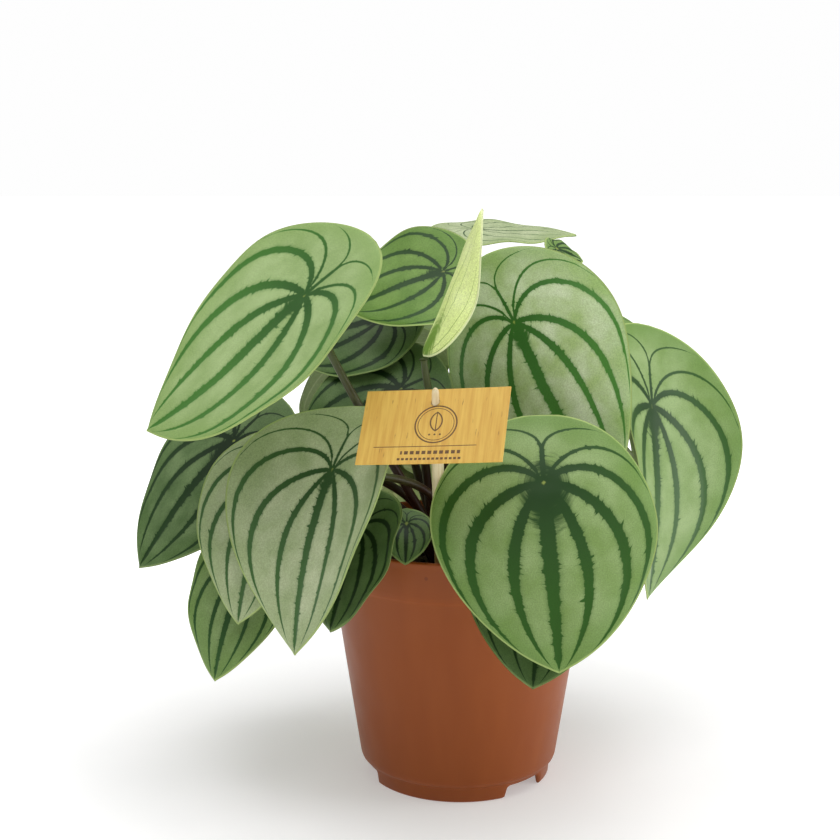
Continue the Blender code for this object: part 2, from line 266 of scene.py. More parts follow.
def sweep_tube(path: np.ndarray, radii: np.ndarray, sides: int) -> tuple[np.ndarray, list]:
    """Sweep a round section along a line and close both ends.

    Args:
        path: the middle line.
        radii: radius at each point.
        sides: corners of the section.

    Returns:
        Corners and faces.
    """
    points = []
    reference = np.array([0.3, 0.2, 1.0])
    turns = 2 * np.pi * np.arange(sides) / sides
    for k, point in enumerate(path):
        ahead = unit(path[min(k + 1, len(path) - 1)] - path[max(k - 1, 0)])
        reference = unit(reference - ahead * (reference @ ahead))
        other = np.cross(ahead, reference)
        points += [point + radii[k] * (math.cos(a) * reference + math.sin(a) * other) for a in turns]
    faces = bridge(len(path), sides)
    faces.append(tuple(reversed(range(sides))))
    faces.append(tuple((len(path) - 1) * sides + i for i in range(sides)))
    return np.array(points), faces


# ---------------------------------------------------------------- finishes of the living parts
def nearest_vein(tree: bpy.types.NodeTree) -> Any:
    """Return the distance to the nearest vein over that vein's half width, from a blade's own fields."""
    near = None
    for key in ("ribs_a", "ribs_b"):
        ribs = add_node(tree, "Attribute", {"attribute_name": key}, out=1)
        for socket in add_node(tree, "SeparateXYZ", links={0: ribs}).node.outputs:
            far = add_node(tree, "Math", {"operation": "ABSOLUTE"}, {0: socket})
            near = far if near is None else add_node(tree, "Math", {"operation": "MINIMUM"},
                                                     {0: near, 1: far})
    return near


@dataclass(frozen=True)
class LeafFace:
    """Upper face of a peperomia blade: fleshy leaf with a thin waxy cuticle.

    Air under the skin between the veins gives the eye a silver bloom, and the veins stay deep green.
    """

    name: str
    silver: str
    silver_low: str
    green: str = "#3a6424"
    deep: str = "#1f3d14"
    border: str = "#6d8f43"
    rim: str = "#a3b86c"
    dot: str = "#a4b356"
    roughness: float = 0.5

    def build(self) -> bpy.types.Material:
        """Return the node material, drawn from the blade's own fields."""
        made, tree = new_material(self.name)
        lamina = add_node(tree, "SeparateXYZ", links={0: add_node(
            tree, "Attribute", {"attribute_name": "lamina"}, out=1)}).node
        plan = add_node(tree, "Attribute", {"attribute_name": "plan"}, out=1)
        place = add_node(tree, "SeparateXYZ", links={0: plan}).node
        reach, edge, blotch = lamina.outputs
        near = nearest_vein(tree)
        # teeth 1.3 mm apart along the vein, drawn out across it, and a few long barbs
        along = add_node(tree, "Math", {"operation": "MULTIPLY"}, {0: reach, 1: 0.75})
        across = add_node(tree, "Math", {"operation": "MULTIPLY"}, {0: place.outputs[1], 1: 0.13})
        tooth_at = add_node(tree, "CombineXYZ", links={0: along, 1: across, 2: place.outputs[2]})
        teeth = add_node(tree, "TexNoise", links={"Vector": tooth_at, "Scale": 1.0, "Detail": 2.0,
                                                  "Roughness": 0.6})
        small = add_node(tree, "Math", {"operation": "MULTIPLY_ADD"}, {0: teeth, 1: -0.9, 2: 0.45})
        barb = add_node(tree, "MapRange", links={0: teeth, 1: 0.6, 2: 0.76, 3: 0.0, 4: -0.75})
        ragged = add_node(tree, "Math", {"operation": "ADD"}, {0: near, 1: small})
        ragged = add_node(tree, "Math", {"operation": "ADD"}, {0: ragged, 1: barb})
        stripe = add_node(tree, "MapRange", SMOOTH,
                          {0: ragged, 1: 1.14, 2: 0.86, 3: 0.0, 4: 1.0})
        # the blotch round the eye, with a ragged border
        fray = add_node(tree, "MapRange", links={0: teeth, 1: 0.3, 2: 0.7, 3: -0.22, 4: 0.22})
        spread = add_node(tree, "Math", {"operation": "ADD"}, {0: blotch, 1: fray})
        pool = add_node(tree, "MapRange", SMOOTH,
                        {0: spread, 1: -0.25, 2: 0.4, 3: 0.0, 4: 1.0})
        dark = add_node(tree, "Math", {"operation": "MAXIMUM"}, {0: stripe, 1: pool})
        # silver cells: clouds 14 mm wide and a grain of 0.5 mm
        cloud = add_node(tree, "TexNoise", links={"Vector": plan, "Scale": 0.07, "Detail": 3.0})
        cloudy = add_node(tree, "MapRange", links={0: cloud, 1: 0.35, 2: 0.66, 3: 0.0, 4: 1.0})
        grain = add_node(tree, "TexNoise", links={"Vector": plan, "Scale": 1.9, "Detail": 2.0})
        grainy = add_node(tree, "MapRange", links={0: grain, 1: 0.3, 2: 0.7, 3: 0.8, 4: 1.13})
        ground = add_node(tree, "Mix", RGBA, {
            0: cloudy, 6: linear(self.silver_low), 7: linear(self.silver)}, out=2)
        # the bloom thins out over the last 16 mm before the margin
        thin = add_node(tree, "MapRange", SMOOTH,
                        {0: edge, 1: 16.0, 2: 0.0, 3: 0.0, 4: 0.6})
        ground = add_node(tree, "Mix", RGBA, {
            0: thin, 6: ground, 7: linear(self.border)}, out=2)
        # green creeps out of the veins into the silver
        creep = add_node(tree, "MapRange", SMOOTH,
                         {0: ragged, 1: 1.9, 2: 0.9, 3: 0.0, 4: 0.35})
        ground = add_node(tree, "Mix", RGBA, {
            0: creep, 6: ground, 7: linear(self.green)}, out=2)
        # the veins are darkest at the eye and greener towards their ends
        inner = add_node(tree, "MapRange", links={0: reach, 1: 8.0, 2: 46.0, 3: 0.9, 4: 0.12})
        mottle = add_node(tree, "MapRange", links={0: grain, 1: 0.3, 2: 0.7, 3: -0.12, 4: 0.12})
        depth = add_node(tree, "Math", {"operation": "ADD", "use_clamp": True}, {0: inner, 1: mottle})
        veins = add_node(tree, "Mix", RGBA, {
            0: depth, 6: linear(self.green), 7: linear(self.deep)}, out=2)
        colour = add_node(tree, "Mix", RGBA, {0: dark, 6: ground, 7: veins}, out=2)
        colour = add_node(tree, "Mix", TINTED, {
            0: 1.0, 6: colour, 7: grainy}, out=2)
        # a pale hairline along the margin, about 0.6 mm wide
        hem = add_node(tree, "MapRange", SMOOTH,
                       {0: edge, 1: 0.95, 2: 0.35, 3: 0.0, 4: 0.85})
        colour = add_node(tree, "Mix", RGBA, {
            0: hem, 6: colour, 7: linear(self.rim)}, out=2)
        # the yellow-green dot where the petiole joins from below, about 1.6 mm across
        spot = add_node(tree, "MapRange", SMOOTH,
                        {0: reach, 1: 1.3, 2: 0.5, 3: 0.0, 4: 0.6})
        colour = add_node(tree, "Mix", RGBA, {
            0: spot, 6: colour, 7: linear(self.dot)}, out=2)
        gloss = add_node(tree, "MapRange", links={
            0: dark, 1: 0.0, 2: 1.0, 3: self.roughness, 4: self.roughness - 0.06})
        close_material(tree, colour, gloss, grain, 0.03, IOR=1.42, Specular_IOR_Level=0.32)
        return made


@dataclass(frozen=True)
class LeafBack:
    """Under face of a blade: matt, pale yellow-green skin with the veins standing out lighter."""

    name: str = "leaf_underside_matt"
    skin: str = "#93ab68"
    vein: str = "#b4c384"
    roughness: float = 0.55

    def build(self) -> bpy.types.Material:
        """Return the node material."""
        made, tree = new_material(self.name)
        near = nearest_vein(tree)
        plan = add_node(tree, "Attribute", {"attribute_name": "plan"}, out=1)
        grain = add_node(tree, "TexNoise", links={"Vector": plan, "Scale": 0.9, "Detail": 3.0})
        line = add_node(tree, "MapRange", SMOOTH,
                        {0: near, 1: 0.75, 2: 0.2, 3: 0.0, 4: 0.8})
        colour = add_node(tree, "Mix", RGBA, {
            0: line, 6: linear(self.skin), 7: linear(self.vein)}, out=2)
        shade = add_node(tree, "MapRange", links={0: grain, 1: 0.3, 2: 0.7, 3: 0.86, 4: 1.1})
        colour = add_node(tree, "Mix", TINTED, {
            0: 1.0, 6: colour, 7: shade}, out=2)
        close_material(tree, colour, self.roughness, grain, 0.04, IOR=1.45)
        return made


@dataclass(frozen=True)
class StalkSkin:
    """Skin of a petiole: fleshy, wine-red at the crown, turning green under the blade, finely dotted; the
    red is darkened with painted shade.
    """

    name: str = "petiole_skin_fleshy_painted_shade"
    # painted shade: the wine red is darker than the skin's own colour, for the shadow under the leaves
    # round the crown
    red: str = "#391b15"
    green: str = "#4c5c2a"
    dots: str = "#35170f"

    def build(self) -> bpy.types.Material:
        """Return the node material; the attribute says how far up the petiole a point is."""
        made, tree = new_material(self.name)
        run = add_node(tree, "Attribute", {"attribute_name": "run"}, out=1)
        split = add_node(tree, "SeparateXYZ", links={0: run}).node
        rise = add_node(tree, "MapRange", SMOOTH,
                        {0: split.outputs[0], 1: 0.15, 2: 1.0, 3: 0.0, 4: 1.0})
        place = add_node(tree, "TexCoord", out=3)
        blend = add_node(tree, "TexNoise", links={"Vector": place, "Scale": 180.0, "Detail": 3.0})
        mixed = add_node(tree, "Math", {"operation": "MULTIPLY_ADD", "use_clamp": True},
                         {0: blend, 1: 0.5, 2: rise})
        mixed = add_node(tree, "Math", {"operation": "SUBTRACT", "use_clamp": True}, {0: mixed, 1: 0.25})
        colour = add_node(tree, "Mix", RGBA, {
            0: mixed, 6: linear(self.red), 7: linear(self.green)}, out=2)
        # lenticels about 0.7 mm apart
        fleck = add_node(tree, "TexVoronoi", links={"Vector": place, "Scale": 1400.0})
        fleck = add_node(tree, "MapRange", links={0: fleck, 1: 0.22, 2: 0.12, 3: 0.0, 4: 0.6})
        colour = add_node(tree, "Mix", RGBA, {
            0: fleck, 6: colour, 7: linear(self.dots)}, out=2)
        close_material(tree, colour, 0.4, blend, 0.06, IOR=1.42)
        return made


@dataclass(frozen=True)
class RoughGround:
    """Loose, unglazed growing stuff: peat compost, expanded perlite or the corky crown.

    Many small faces and pores scatter the light, so it looks dull, with dark hollows.
    """

    name: str
    dark: str
    light: str
    grain_mm: float
    bump_mm: float = 0.4
    roughness: float = 0.95

    def build(self) -> bpy.types.Material:
        """Return the node material."""
        made, tree = new_material(self.name)
        place = add_node(tree, "TexCoord", out=3)
        grain = add_node(tree, "TexNoise", links={
            "Vector": place, "Scale": 1.0 / (self.grain_mm * MM), "Detail": 5.0, "Roughness": 0.65})
        patch = add_node(tree, "MapRange", links={0: grain, 1: 0.34, 2: 0.68, 3: 0.0, 4: 1.0})
        colour = add_node(tree, "Mix", RGBA, {
            0: patch, 6: linear(self.dark), 7: linear(self.light)}, out=2)
        close_material(tree, colour, self.roughness, grain, self.bump_mm, IOR=1.5)
        return made


# ---------------------------------------------------------------- finishes of the made parts
@dataclass(frozen=True)
class MouldedPolypropylene:
    """Terracotta-dyed polypropylene, injection moulded against a lightly etched tool.

    The eye sees a soft satin with faint upright flow marks and a few darker specks.
    """

    name: str = "pot_polypropylene_moulded_satin"
    body: str = "#8d4513"
    flow: str = "#924916"
    speck: str = "#6b3114"
    roughness: float = 0.43

    def build(self) -> bpy.types.Material:
        """Return the node material."""
        made, tree = new_material(self.name)
        place = add_node(tree, "TexCoord", out=3)
        # flow marks: 9 mm wide, drawn out eight times as tall
        tall = add_node(tree, "Mapping", links={"Vector": place, "Scale": (110.0, 110.0, 14.0)})
        flow = add_node(tree, "TexNoise", links={"Vector": tall, "Scale": 1.0, "Detail": 2.0})
        drift = add_node(tree, "MapRange", links={0: flow, 1: 0.35, 2: 0.68, 3: 0.0, 4: 1.0})
        colour = add_node(tree, "Mix", RGBA, {
            0: drift, 6: linear(self.body), 7: linear(self.flow)}, out=2)
        # pigment specks up to 1.5 mm across and about 14 mm apart
        specks = add_node(tree, "TexVoronoi", links={"Vector": place, "Scale": 85.0, "Randomness": 1.0})
        sizes = add_node(tree, "TexNoise", links={"Vector": place, "Scale": 60.0, "Detail": 1.0})
        reach = add_node(tree, "MapRange", links={0: sizes, 1: 0.5, 2: 0.75, 3: 0.0, 4: 0.1})
        spot = add_node(tree, "Math", {"operation": "LESS_THAN"}, {0: specks, 1: reach})
        spot = add_node(tree, "Math", {"operation": "MULTIPLY"}, {0: spot, 1: 0.55})
        colour = add_node(tree, "Mix", RGBA, {
            0: spot, 6: colour, 7: linear(self.speck)}, out=2)
        # the etched tool leaves a 0.35 mm grain
        etch = add_node(tree, "TexNoise", links={"Vector": place, "Scale": 2800.0, "Detail": 2.0})
        wear = add_node(tree, "TexNoise", links={"Vector": place, "Scale": 55.0, "Detail": 4.0})
        gloss = add_node(tree, "MapRange", links={
            0: wear, 1: 0.3, 2: 0.7, 3: self.roughness - 0.05, 4: self.roughness + 0.07})
        close_material(tree, colour, gloss, etch, 0.012, IOR=1.49, Specular_IOR_Level=0.26)
        return made


@dataclass(frozen=True)
class PrintedBoard:
    """Matt card, litho printed with a wood picture and a brown one-colour mark.

    The eye sees flat, warm golden streaks that run up the card, and a crisp round mark over two rows.
    """

    name: str = "card_board_wood_print"
    straw: str = "#d9b250"
    amber: str = "#ca9b3e"
    streak: str = "#7d5420"
    ink: str = "#5f3f16"
    mark_at: tuple[float, float] = (1.0, 0.6)
    mark_radius: float = 8.2

    def build(self) -> bpy.types.Material:
        """Return the node material; the card's own x and y in mm come from an attribute."""
        made, tree = new_material(self.name)
        flat = add_node(tree, "Attribute", {"attribute_name": "card_mm"}, out=1)
        split = add_node(tree, "SeparateXYZ", links={0: flat}).node
        x, y = split.outputs[0], split.outputs[1]
        # printed grain: streaks 1.6 mm wide and 30 mm long
        drawn = add_node(tree, "Mapping", links={"Vector": flat, "Scale": (0.6, 0.035, 1.0)})
        grain = add_node(tree, "TexNoise", links={"Vector": drawn, "Scale": 1.0, "Detail": 4.0,
                                                  "Roughness": 0.6, "Distortion": 0.3})
        warm = add_node(tree, "MapRange", links={0: grain, 1: 0.35, 2: 0.62, 3: 0.0, 4: 1.0})
        colour = add_node(tree, "Mix", RGBA, {
            0: warm, 6: linear(self.straw), 7: linear(self.amber)}, out=2)
        # a few dark pores 0.8 mm wide and 7 mm long
        pored = add_node(tree, "Mapping", links={"Vector": flat, "Scale": (1.2, 0.14, 1.0)})
        pores = add_node(tree, "TexNoise", links={"Vector": pored, "Scale": 1.0, "Detail": 3.0})
        dark = add_node(tree, "MapRange", links={0: pores, 1: 0.66, 2: 0.74, 3: 0.0, 4: 0.75})
        colour = add_node(tree, "Mix", RGBA, {
            0: dark, 6: colour, 7: linear(self.streak)}, out=2)
        ink = None
        for mask in self._mark(tree, x, y) + self._rows(tree, x, y):
            ink = mask if ink is None else add_node(tree, "Math", {"operation": "MAXIMUM"},
                                                    {0: ink, 1: mask})
        colour = add_node(tree, "Mix", RGBA, {
            0: ink, 6: colour, 7: linear(self.ink)}, out=2)
        fibre = add_node(tree, "TexNoise", links={"Vector": flat, "Scale": 3.0, "Detail": 3.0})
        close_material(tree, colour, 0.62, fibre, 0.015, IOR=1.5)
        return made

    def _mark(self, tree: bpy.types.NodeTree, x: Any, y: Any) -> list:
        """Return the masks of the round mark: two rings, a leaf with its midrib and three dots.

        Args:
            tree: the node tree.
            x: across the card.
            y: up the card.
        """
        dx = add_node(tree, "Math", {"operation": "SUBTRACT"}, {0: x, 1: self.mark_at[0]})
        dy = add_node(tree, "Math", {"operation": "SUBTRACT"}, {0: y, 1: self.mark_at[1]})
        at = add_node(tree, "CombineXYZ", links={0: dx, 1: dy})
        out = add_node(tree, "VectorMath", {"operation": "LENGTH"}, {0: at}, out=1)
        masks = [add_node(tree, "Math", {"operation": "COMPARE"}, {0: out, 1: radius, 2: half})
                 for radius, half in ((self.mark_radius, 0.3), (self.mark_radius - 1.1, 0.14))]
        # a leaf is where two discs overlap, and its outline is a thin band of that
        reaches = []
        for side in (-1.0, 1.0):
            middle = add_node(tree, "VectorMath", {"operation": "SUBTRACT"},
                              {0: at, 1: (side * 2.6, 1.2, 0.0)})
            reaches.append(add_node(tree, "VectorMath", {"operation": "LENGTH"}, {0: middle}, out=1))
        leaf = add_node(tree, "Math", {"operation": "MAXIMUM"}, {0: reaches[0], 1: reaches[1]})
        masks.append(add_node(tree, "Math", {"operation": "COMPARE"}, {0: leaf, 1: 4.9, 2: 0.28}))
        inside = add_node(tree, "Math", {"operation": "LESS_THAN"}, {0: leaf, 1: 4.9})
        line = add_node(tree, "Math", {"operation": "COMPARE"}, {0: dx, 1: 0.0, 2: 0.2})
        masks.append(add_node(tree, "Math", {"operation": "MULTIPLY"}, {0: inside, 1: line}))
        for k in (-1, 0, 1):
            spot = add_node(tree, "VectorMath", {"operation": "DISTANCE"},
                            {0: at, 1: (2.1 * k, -4.6, 0.0)}, out=1)
            masks.append(add_node(tree, "Math", {"operation": "LESS_THAN"}, {0: spot, 1: 0.42}))
        return masks

    def _rows(self, tree: bpy.types.NodeTree, x: Any, y: Any) -> list:
        """Return the masks of a hairline and two rows of plain dashes under the mark.

        Args:
            tree: the node tree.
            x: across the card.
            y: up the card.
        """
        masks = []
        # height, half height, left end, right end and the pitch of the dashes
        rows = ((-9.2, 0.17, -22.5, 18.0, 0.0), (-11.9, 0.75, -11.5, 12.0, 2.3),
                (-14.7, 0.5, -12.5, 12.5, 1.7))
        for height, half, start, end, pitch in rows:
            row = add_node(tree, "Math", {"operation": "COMPARE"}, {0: y, 1: height, 2: half})
            wide = add_node(tree, "Math", {"operation": "COMPARE"},
                            {0: x, 1: 0.5 * (start + end), 2: 0.5 * (end - start)})
            mask = add_node(tree, "Math", {"operation": "MULTIPLY"}, {0: row, 1: wide})
            if pitch:
                beat = add_node(tree, "Math", {"operation": "PINGPONG"}, {0: x, 1: 0.5 * pitch})
                dash = add_node(tree, "Math", {"operation": "LESS_THAN"}, {0: beat, 1: 0.33 * pitch})
                mask = add_node(tree, "Math", {"operation": "MULTIPLY"}, {0: mask, 1: dash})
            masks.append(mask)
        return masks


@dataclass(frozen=True)
class TurnedBirch:
    """Birch dowel, turned and left raw: cream, nearly even, with fine long grain."""

    name: str = "stake_birch_turned"
    cream: str = "#ecdfbd"
    grain: str = "#d6c292"

    def build(self) -> bpy.types.Material:
        """Return the node material; the attribute's first number runs along the dowel in mm."""
        made, tree = new_material(self.name)
        run = add_node(tree, "Attribute", {"attribute_name": "run"}, out=1)
        # growth lines 0.6 mm apart, drawn out along the dowel
        drawn = add_node(tree, "Mapping", links={"Vector": run, "Scale": (0.06, 1.6, 1.6)})
        lines = add_node(tree, "TexNoise", links={"Vector": drawn, "Scale": 1.0, "Detail": 4.0})
        share = add_node(tree, "MapRange", links={0: lines, 1: 0.35, 2: 0.7, 3: 0.0, 4: 1.0})
        colour = add_node(tree, "Mix", RGBA, {
            0: share, 6: linear(self.cream), 7: linear(self.grain)}, out=2)
        close_material(tree, colour, 0.55, lines, 0.05, IOR=1.5)
        return made


class Tone(Enum):
    """How silver or how green a blade's upper face is; the shaded tone is a darker copy with painted shade
    and the brightest silver a lighter copy with painted light.
    """

    FRESH = "fresh"
    DEEP = "deep"
    GREEN = "green"
    BRIGHT = "bright"
    SILVER = "silver"
    SOFT = "soft"
    SHADE = "shade"
    YOUNG = "young"


TONES = {
    Tone.FRESH: LeafFace("leaf_face_fresh_waxy", "#a4bb80", "#8ea869", green="#457a2e", deep="#28521b",
                         border="#82a255"),
    Tone.DEEP: LeafFace("leaf_face_deep_waxy", "#8ca36b", "#769150", green="#30591b", deep="#17380d",
                        border="#62863a"),
    Tone.GREEN: LeafFace("leaf_face_green_waxy", "#7a9a4d", "#638639", green="#2c5417", deep="#1a3a0e",
                         border="#5b8030"),
    # painted light: a lighter copy of the silver for the blade in full light, over its own silver bloom
    Tone.BRIGHT: LeafFace("leaf_face_silver_painted_light_waxy", "#bfcca6", "#98af70", green="#457a2e", deep="#2c5c1d",
                          border="#7fa052"),
    Tone.SILVER: LeafFace("leaf_face_silver_waxy", "#b8c29b", "#9aaa7c", green="#466a39", deep="#2a4823",
                          border="#98aa76"),
    Tone.SOFT: LeafFace("leaf_face_soft_waxy", "#829a62", "#6a8548", green="#315726", deep="#1b3912"),
    # painted shade: a darker copy of the leaf colour for blades that sit in the shadow of the leaves above
    Tone.SHADE: LeafFace("leaf_face_shaded_waxy", "#6b8254", "#4f683b", green="#1f3c15", deep="#12280c",
                         border="#4d6b33", rim="#7f9455"),
    Tone.YOUNG: LeafFace("leaf_face_young_waxy", "#effab6", "#e0ee9c", green="#9cba5a", deep="#6d9130",
                         border="#e0ee9c", rim="#eef5c0", dot="#c6d27c"),
}


# ---------------------------------------------------------------- the vein plan of a blade
@dataclass(frozen=True)
class Rib:
    """One pair of veins, left and right of the midrib.

    Attributes:
        launch: angle off the midrib at the eye, in degrees.
        closing: how soon it turns to the tip; 0 runs straight to the margin.
        swell: half width in mm at shares of the way to the margin.
        depth: how deep it lies under the face, in mm.
    """

    launch: float
    closing: float
    swell: tuple[tuple[float, float], ...]
    depth: float


MIDRIB = Rib(0.0, 0.0, ((0.0, 2.7), (0.25, 3.2), (0.5, 3.0), (0.8, 2.2), (0.94, 1.5), (0.985, 0.1)), 0.5)
PAIRS = (
    Rib(45.0, 0.64, ((0.0, 1.4), (0.3, 2.2), (0.55, 2.4), (0.8, 1.5), (0.93, 0.6), (0.98, 0.05)), 0.34),
    Rib(88.0, 0.4, ((0.0, 1.4), (0.3, 2.0), (0.75, 2.2), (0.88, 1.5), (0.96, 0.6), (0.99, 0.05)), 0.34),
    Rib(140.0, 0.31, ((0.0, 1.1), (0.3, 1.4), (0.85, 1.6), (0.93, 1.3), (0.97, 0.5), (0.995, 0.03)), 0.24),
    Rib(155.0, 0.15, ((0.0, 0.9), (0.5, 0.7), (0.8, 0.6), (0.95, 0.3), (0.985, 0.02)), 0.14),
)
FORK = Rib(180.0, 0.0, ((0.0, 1.3), (0.45, 1.0), (0.6, 0.6), (0.88, 0.3), (0.95, 0.02)), 0.14)


@dataclass
class VeinPlan:
    """Where the veins run on a flat blade of length one, with the eye at the origin and the tip on +u."""

    eye: float
    tip_power: float
    length: float
    breadth: float
    seed: int
    bearing: np.ndarray = field(init=False)
    reach: np.ndarray = field(init=False)
    margin: np.ndarray = field(init=False)

    def __post_init__(self) -> None:
        """Draw the margin once, as bearing and reach from the eye."""
        t = 0.5 - 0.5 * np.cos(np.linspace(0.0, math.pi, 361))
        u = t - self.eye
        v = HALF_SHARE * half_width(t, self.tip_power)
        self.margin = np.stack([u, v], 1)
        turn = np.arctan2(v, u)
        order = np.argsort(turn)
        self.bearing = turn[order]
        self.reach = np.hypot(u, v)[order]

    def share(self, u: np.ndarray, v: np.ndarray) -> np.ndarray:
        """Return how far each point lies on the way from the eye to the margin, 0 to 1."""
        limit = np.interp(np.arctan2(v, u), self.bearing, self.reach)
        return np.clip(np.hypot(u, v) / limit, 0.0, 0.9995)

    def off(self, u: np.ndarray, v: np.ndarray, where: Callable[[np.ndarray], np.ndarray]) -> np.ndarray:
        """Return the signed distance to a vein, in mm.

        Args:
            u: along the blade.
            v: to the side, never negative.
            where: the vein's bearing in radians at a share of the way to the margin.
        """
        def level(a: np.ndarray, b: np.ndarray) -> np.ndarray:
            return np.arctan2(b, a) - where(self.share(a, b))

        step = 1e-3
        here = level(u, v)
        slope_u = (level(u + step, v) - level(u - step, v)) / (2 * step)
        slope_v = (level(u, v + step) - level(u, np.maximum(v - step, 0.0))) / (2 * step)
        return here / np.maximum(np.hypot(slope_u, slope_v), 0.3) * self.length

    def ratios(self, u: np.ndarray, v: np.ndarray, left: np.ndarray, width: float) -> np.ndarray:
        """Return the signed distance to each vein over its half width.

        Args:
            u: along the blade.
            v: to the side, without its sign.
            left: true on the left side.
            width: how wide the veins are against the usual.

        Returns:
            One column per vein: midrib, four pairs and the fork.
        """
        rng = np.random.default_rng(self.seed)
        share = self.share(u, v)
        scale = width * np.clip(self.length / 105.0, 0.3, 1.15)
        off = np.hypot(v * self.breadth, np.minimum(u, 0.0)) * self.length
        columns = [off / np.maximum(self._half(MIDRIB, share) * scale, 0.02)]
        for rib in PAIRS:
            tilt = rng.normal(0.0, 2.6, 2)
            launch = np.radians(rib.launch + np.where(left, tilt[0], tilt[1]))
            gap = self.off(u, v, lambda p, a=launch, c=rib.closing: a * (1.0 - p) ** c)
            columns.append(gap / np.maximum(self._half(rib, share) * scale, 0.02))
        lean = rng.normal(0.0, 0.05)
        gap = self.off(u, v, lambda p: math.pi - self._fork(p, 1.0 + np.where(left, lean, -lean)))
        columns.append(gap / np.maximum(self._half(FORK, share) * scale, 0.02))
        return np.stack(columns, 1)

    @staticmethod
    def _half(rib: Rib, share: np.ndarray) -> np.ndarray:
        """Return a vein's half width in mm at shares of the way to the margin."""
        at, wide = zip(*rib.swell)
        return np.interp(share, at, wide)

    @staticmethod
    def _fork(share: np.ndarray, stretch: np.ndarray) -> np.ndarray:
        """Return how far, in radians, the fork's two branches stand off the stalk."""
        past = np.maximum(share - 0.5, 0.0)
        return np.radians(170.0 * past ** 2 + 24.0 * past) * stretch


def half_width(t: np.ndarray, tip_power: float = 0.72) -> np.ndarray:
    """Give a blade's half width at t, from the basal end (0) to the tip (1).

    Args:
        t: place along the blade.
        tip_power: 0.6 gives a round lower end and 0.9 a drawn one.

    Returns:
        The share of the greatest half width.
    """
    peak = BASE_POWER / (BASE_POWER + tip_power)
    top = peak ** BASE_POWER * (1.0 - peak) ** tip_power
    left = np.clip(1.0 - t, 0.0, 1.0)
    drip = (1.0 - np.exp(-left / DRIP_SHARE)) ** DRIP_POWER
    return np.clip(t, 0.0, 1.0) ** BASE_POWER * left ** tip_power * drip / top


# ---------------------------------------------------------------- petioles
@dataclass
class Petiole:
    """One leaf stalk, led along the middle line of its CAD node."""

    number: str
    node: bpy.types.Object
    sides: int = 14
    path: np.ndarray = field(init=False)
    radii: np.ndarray = field(init=False)

    def __post_init__(self) -> None:
        """Find the rings of the node from the crown outwards."""
        points, tris = corners_of(self.node)
        near = np.hypot(points[:, 0], points[:, 1]) + 0.3 * np.abs(points[:, 2] - 105.0)
        first = points[np.argmin(near)]
        ring = set(np.argsort(np.linalg.norm(points - first, axis=1))[:6].tolist())
        seen, rings = set(ring), [sorted(ring)]
        while True:
            touching = np.isin(tris, list(ring)).any(1)
            ring = set(tris[touching].ravel().tolist()) - seen
            if not ring:
                break
            seen |= ring
            rings.append(sorted(ring))
        self.path = np.array([points[r].mean(0) for r in rings])
        self.radii = np.array([np.linalg.norm(points[r] - points[r].mean(0), axis=1).mean() for r in rings])

    @property
    def end(self) -> np.ndarray:
        """Return where the petiole meets the blade."""
        return self.path[-1]

    @property
    def heading(self) -> np.ndarray:
        """Return the direction in which the petiole reaches the blade."""
        return unit(self.path[-1] - self.path[-2])

    def build(self, finish: bpy.types.Material) -> bpy.types.Object:
        """Build the stalk, rooted in the crown and flared under the blade.

        Args:
            finish: the petiole skin.

        Returns:
            The piece.
        """
        inward = np.array([-self.path[0][0], -self.path[0][1], 0.0])
        root = self.path[0] + 3.2 * unit(inward) + np.array([0.0, 0.0, -2.6])
        path = smooth_path(np.vstack([root, self.path, self.end + self.heading * 0.9]), 46)
        share = np.linspace(0.0, 1.0, len(path))
        thick = np.interp(share, np.linspace(0, 1, len(self.radii)), self.radii) * 1.02
        root_flare, neck_flare = np.exp(-(share / 0.05) ** 2), np.exp(-((1 - share) / 0.03) ** 2)
        thick = thick * (1.0 + 0.35 * root_flare + 0.4 * neck_flare)
        thick = thick * (1.0 + 0.03 * np.sin(share * 37.0 + int(self.number)))
        points, faces = sweep_tube(path, thick, self.sides)
        run = np.zeros((len(points), 3))
        run[:, 0] = np.repeat(share, self.sides)
        piece = make_piece(f"stalk_{self.number}", points, faces, [finish], fields={"run": run})
        fit_in(piece, "petiole", self.node.name)
        return piece


# ---------------------------------------------------------------- blades
@dataclass(frozen=True)
class Habit:
    """How one blade differs from its neighbours.

    Attributes:
        tone: colour family of the upper face.
        vein_width: width of the veins against the usual.
        tip_power: 0.6 gives a round lower end and 0.9 a drawn one.
        wave: height of the margin's waves in mm.
        blotch: size of the dark blotch round the eye against the usual.
    """

    tone: Tone = Tone.SOFT
    vein_width: float = 0.95
    tip_power: float = 0.7
    wave: float = 0.8
    blotch: float = 0.75


HABITS = {
    "01": Habit(Tone.FRESH, 0.9, 0.68, 0.6, 0.5),
    "02": Habit(Tone.GREEN, 0.75, 0.68, 0.8, 0.6),
    # blade 03's blotch is drawn large over its lower half: partly the blade's own darker base, partly
    # painted shade from the neighbouring leaf
    "03": Habit(Tone.YOUNG, 0.12, 0.9, 0.3, 1.7),
    "04": Habit(Tone.SILVER, 0.3, 0.8, 0.8, 0.4),
    "06": Habit(Tone.BRIGHT, 0.68, 0.66, 0.6, 0.5),
    "07": Habit(Tone.DEEP, 0.85, 0.74, 0.8, 0.6),
    "08": Habit(Tone.DEEP, 1.05, 0.64, 0.5, 1.1),
    # blades 09, 12 and 14 to 18 take the shaded tone: painted shade where the leaves above cast shadow on
    # them
    "09": Habit(Tone.SHADE, 0.7, 0.68),
    "10": Habit(Tone.SILVER, 0.66, 0.8, 0.6, 0.45),
    "11": Habit(Tone.SILVER, 0.75, 0.74, 0.8, 0.5),
    "12": Habit(Tone.SHADE, 0.85, 0.74),
    "13": Habit(Tone.SOFT, 0.8, 0.74),
    "14": Habit(Tone.SHADE),
    "15": Habit(Tone.SHADE),
    "16": Habit(Tone.SHADE),
    "17": Habit(Tone.SHADE),
    "18": Habit(Tone.SHADE),
}


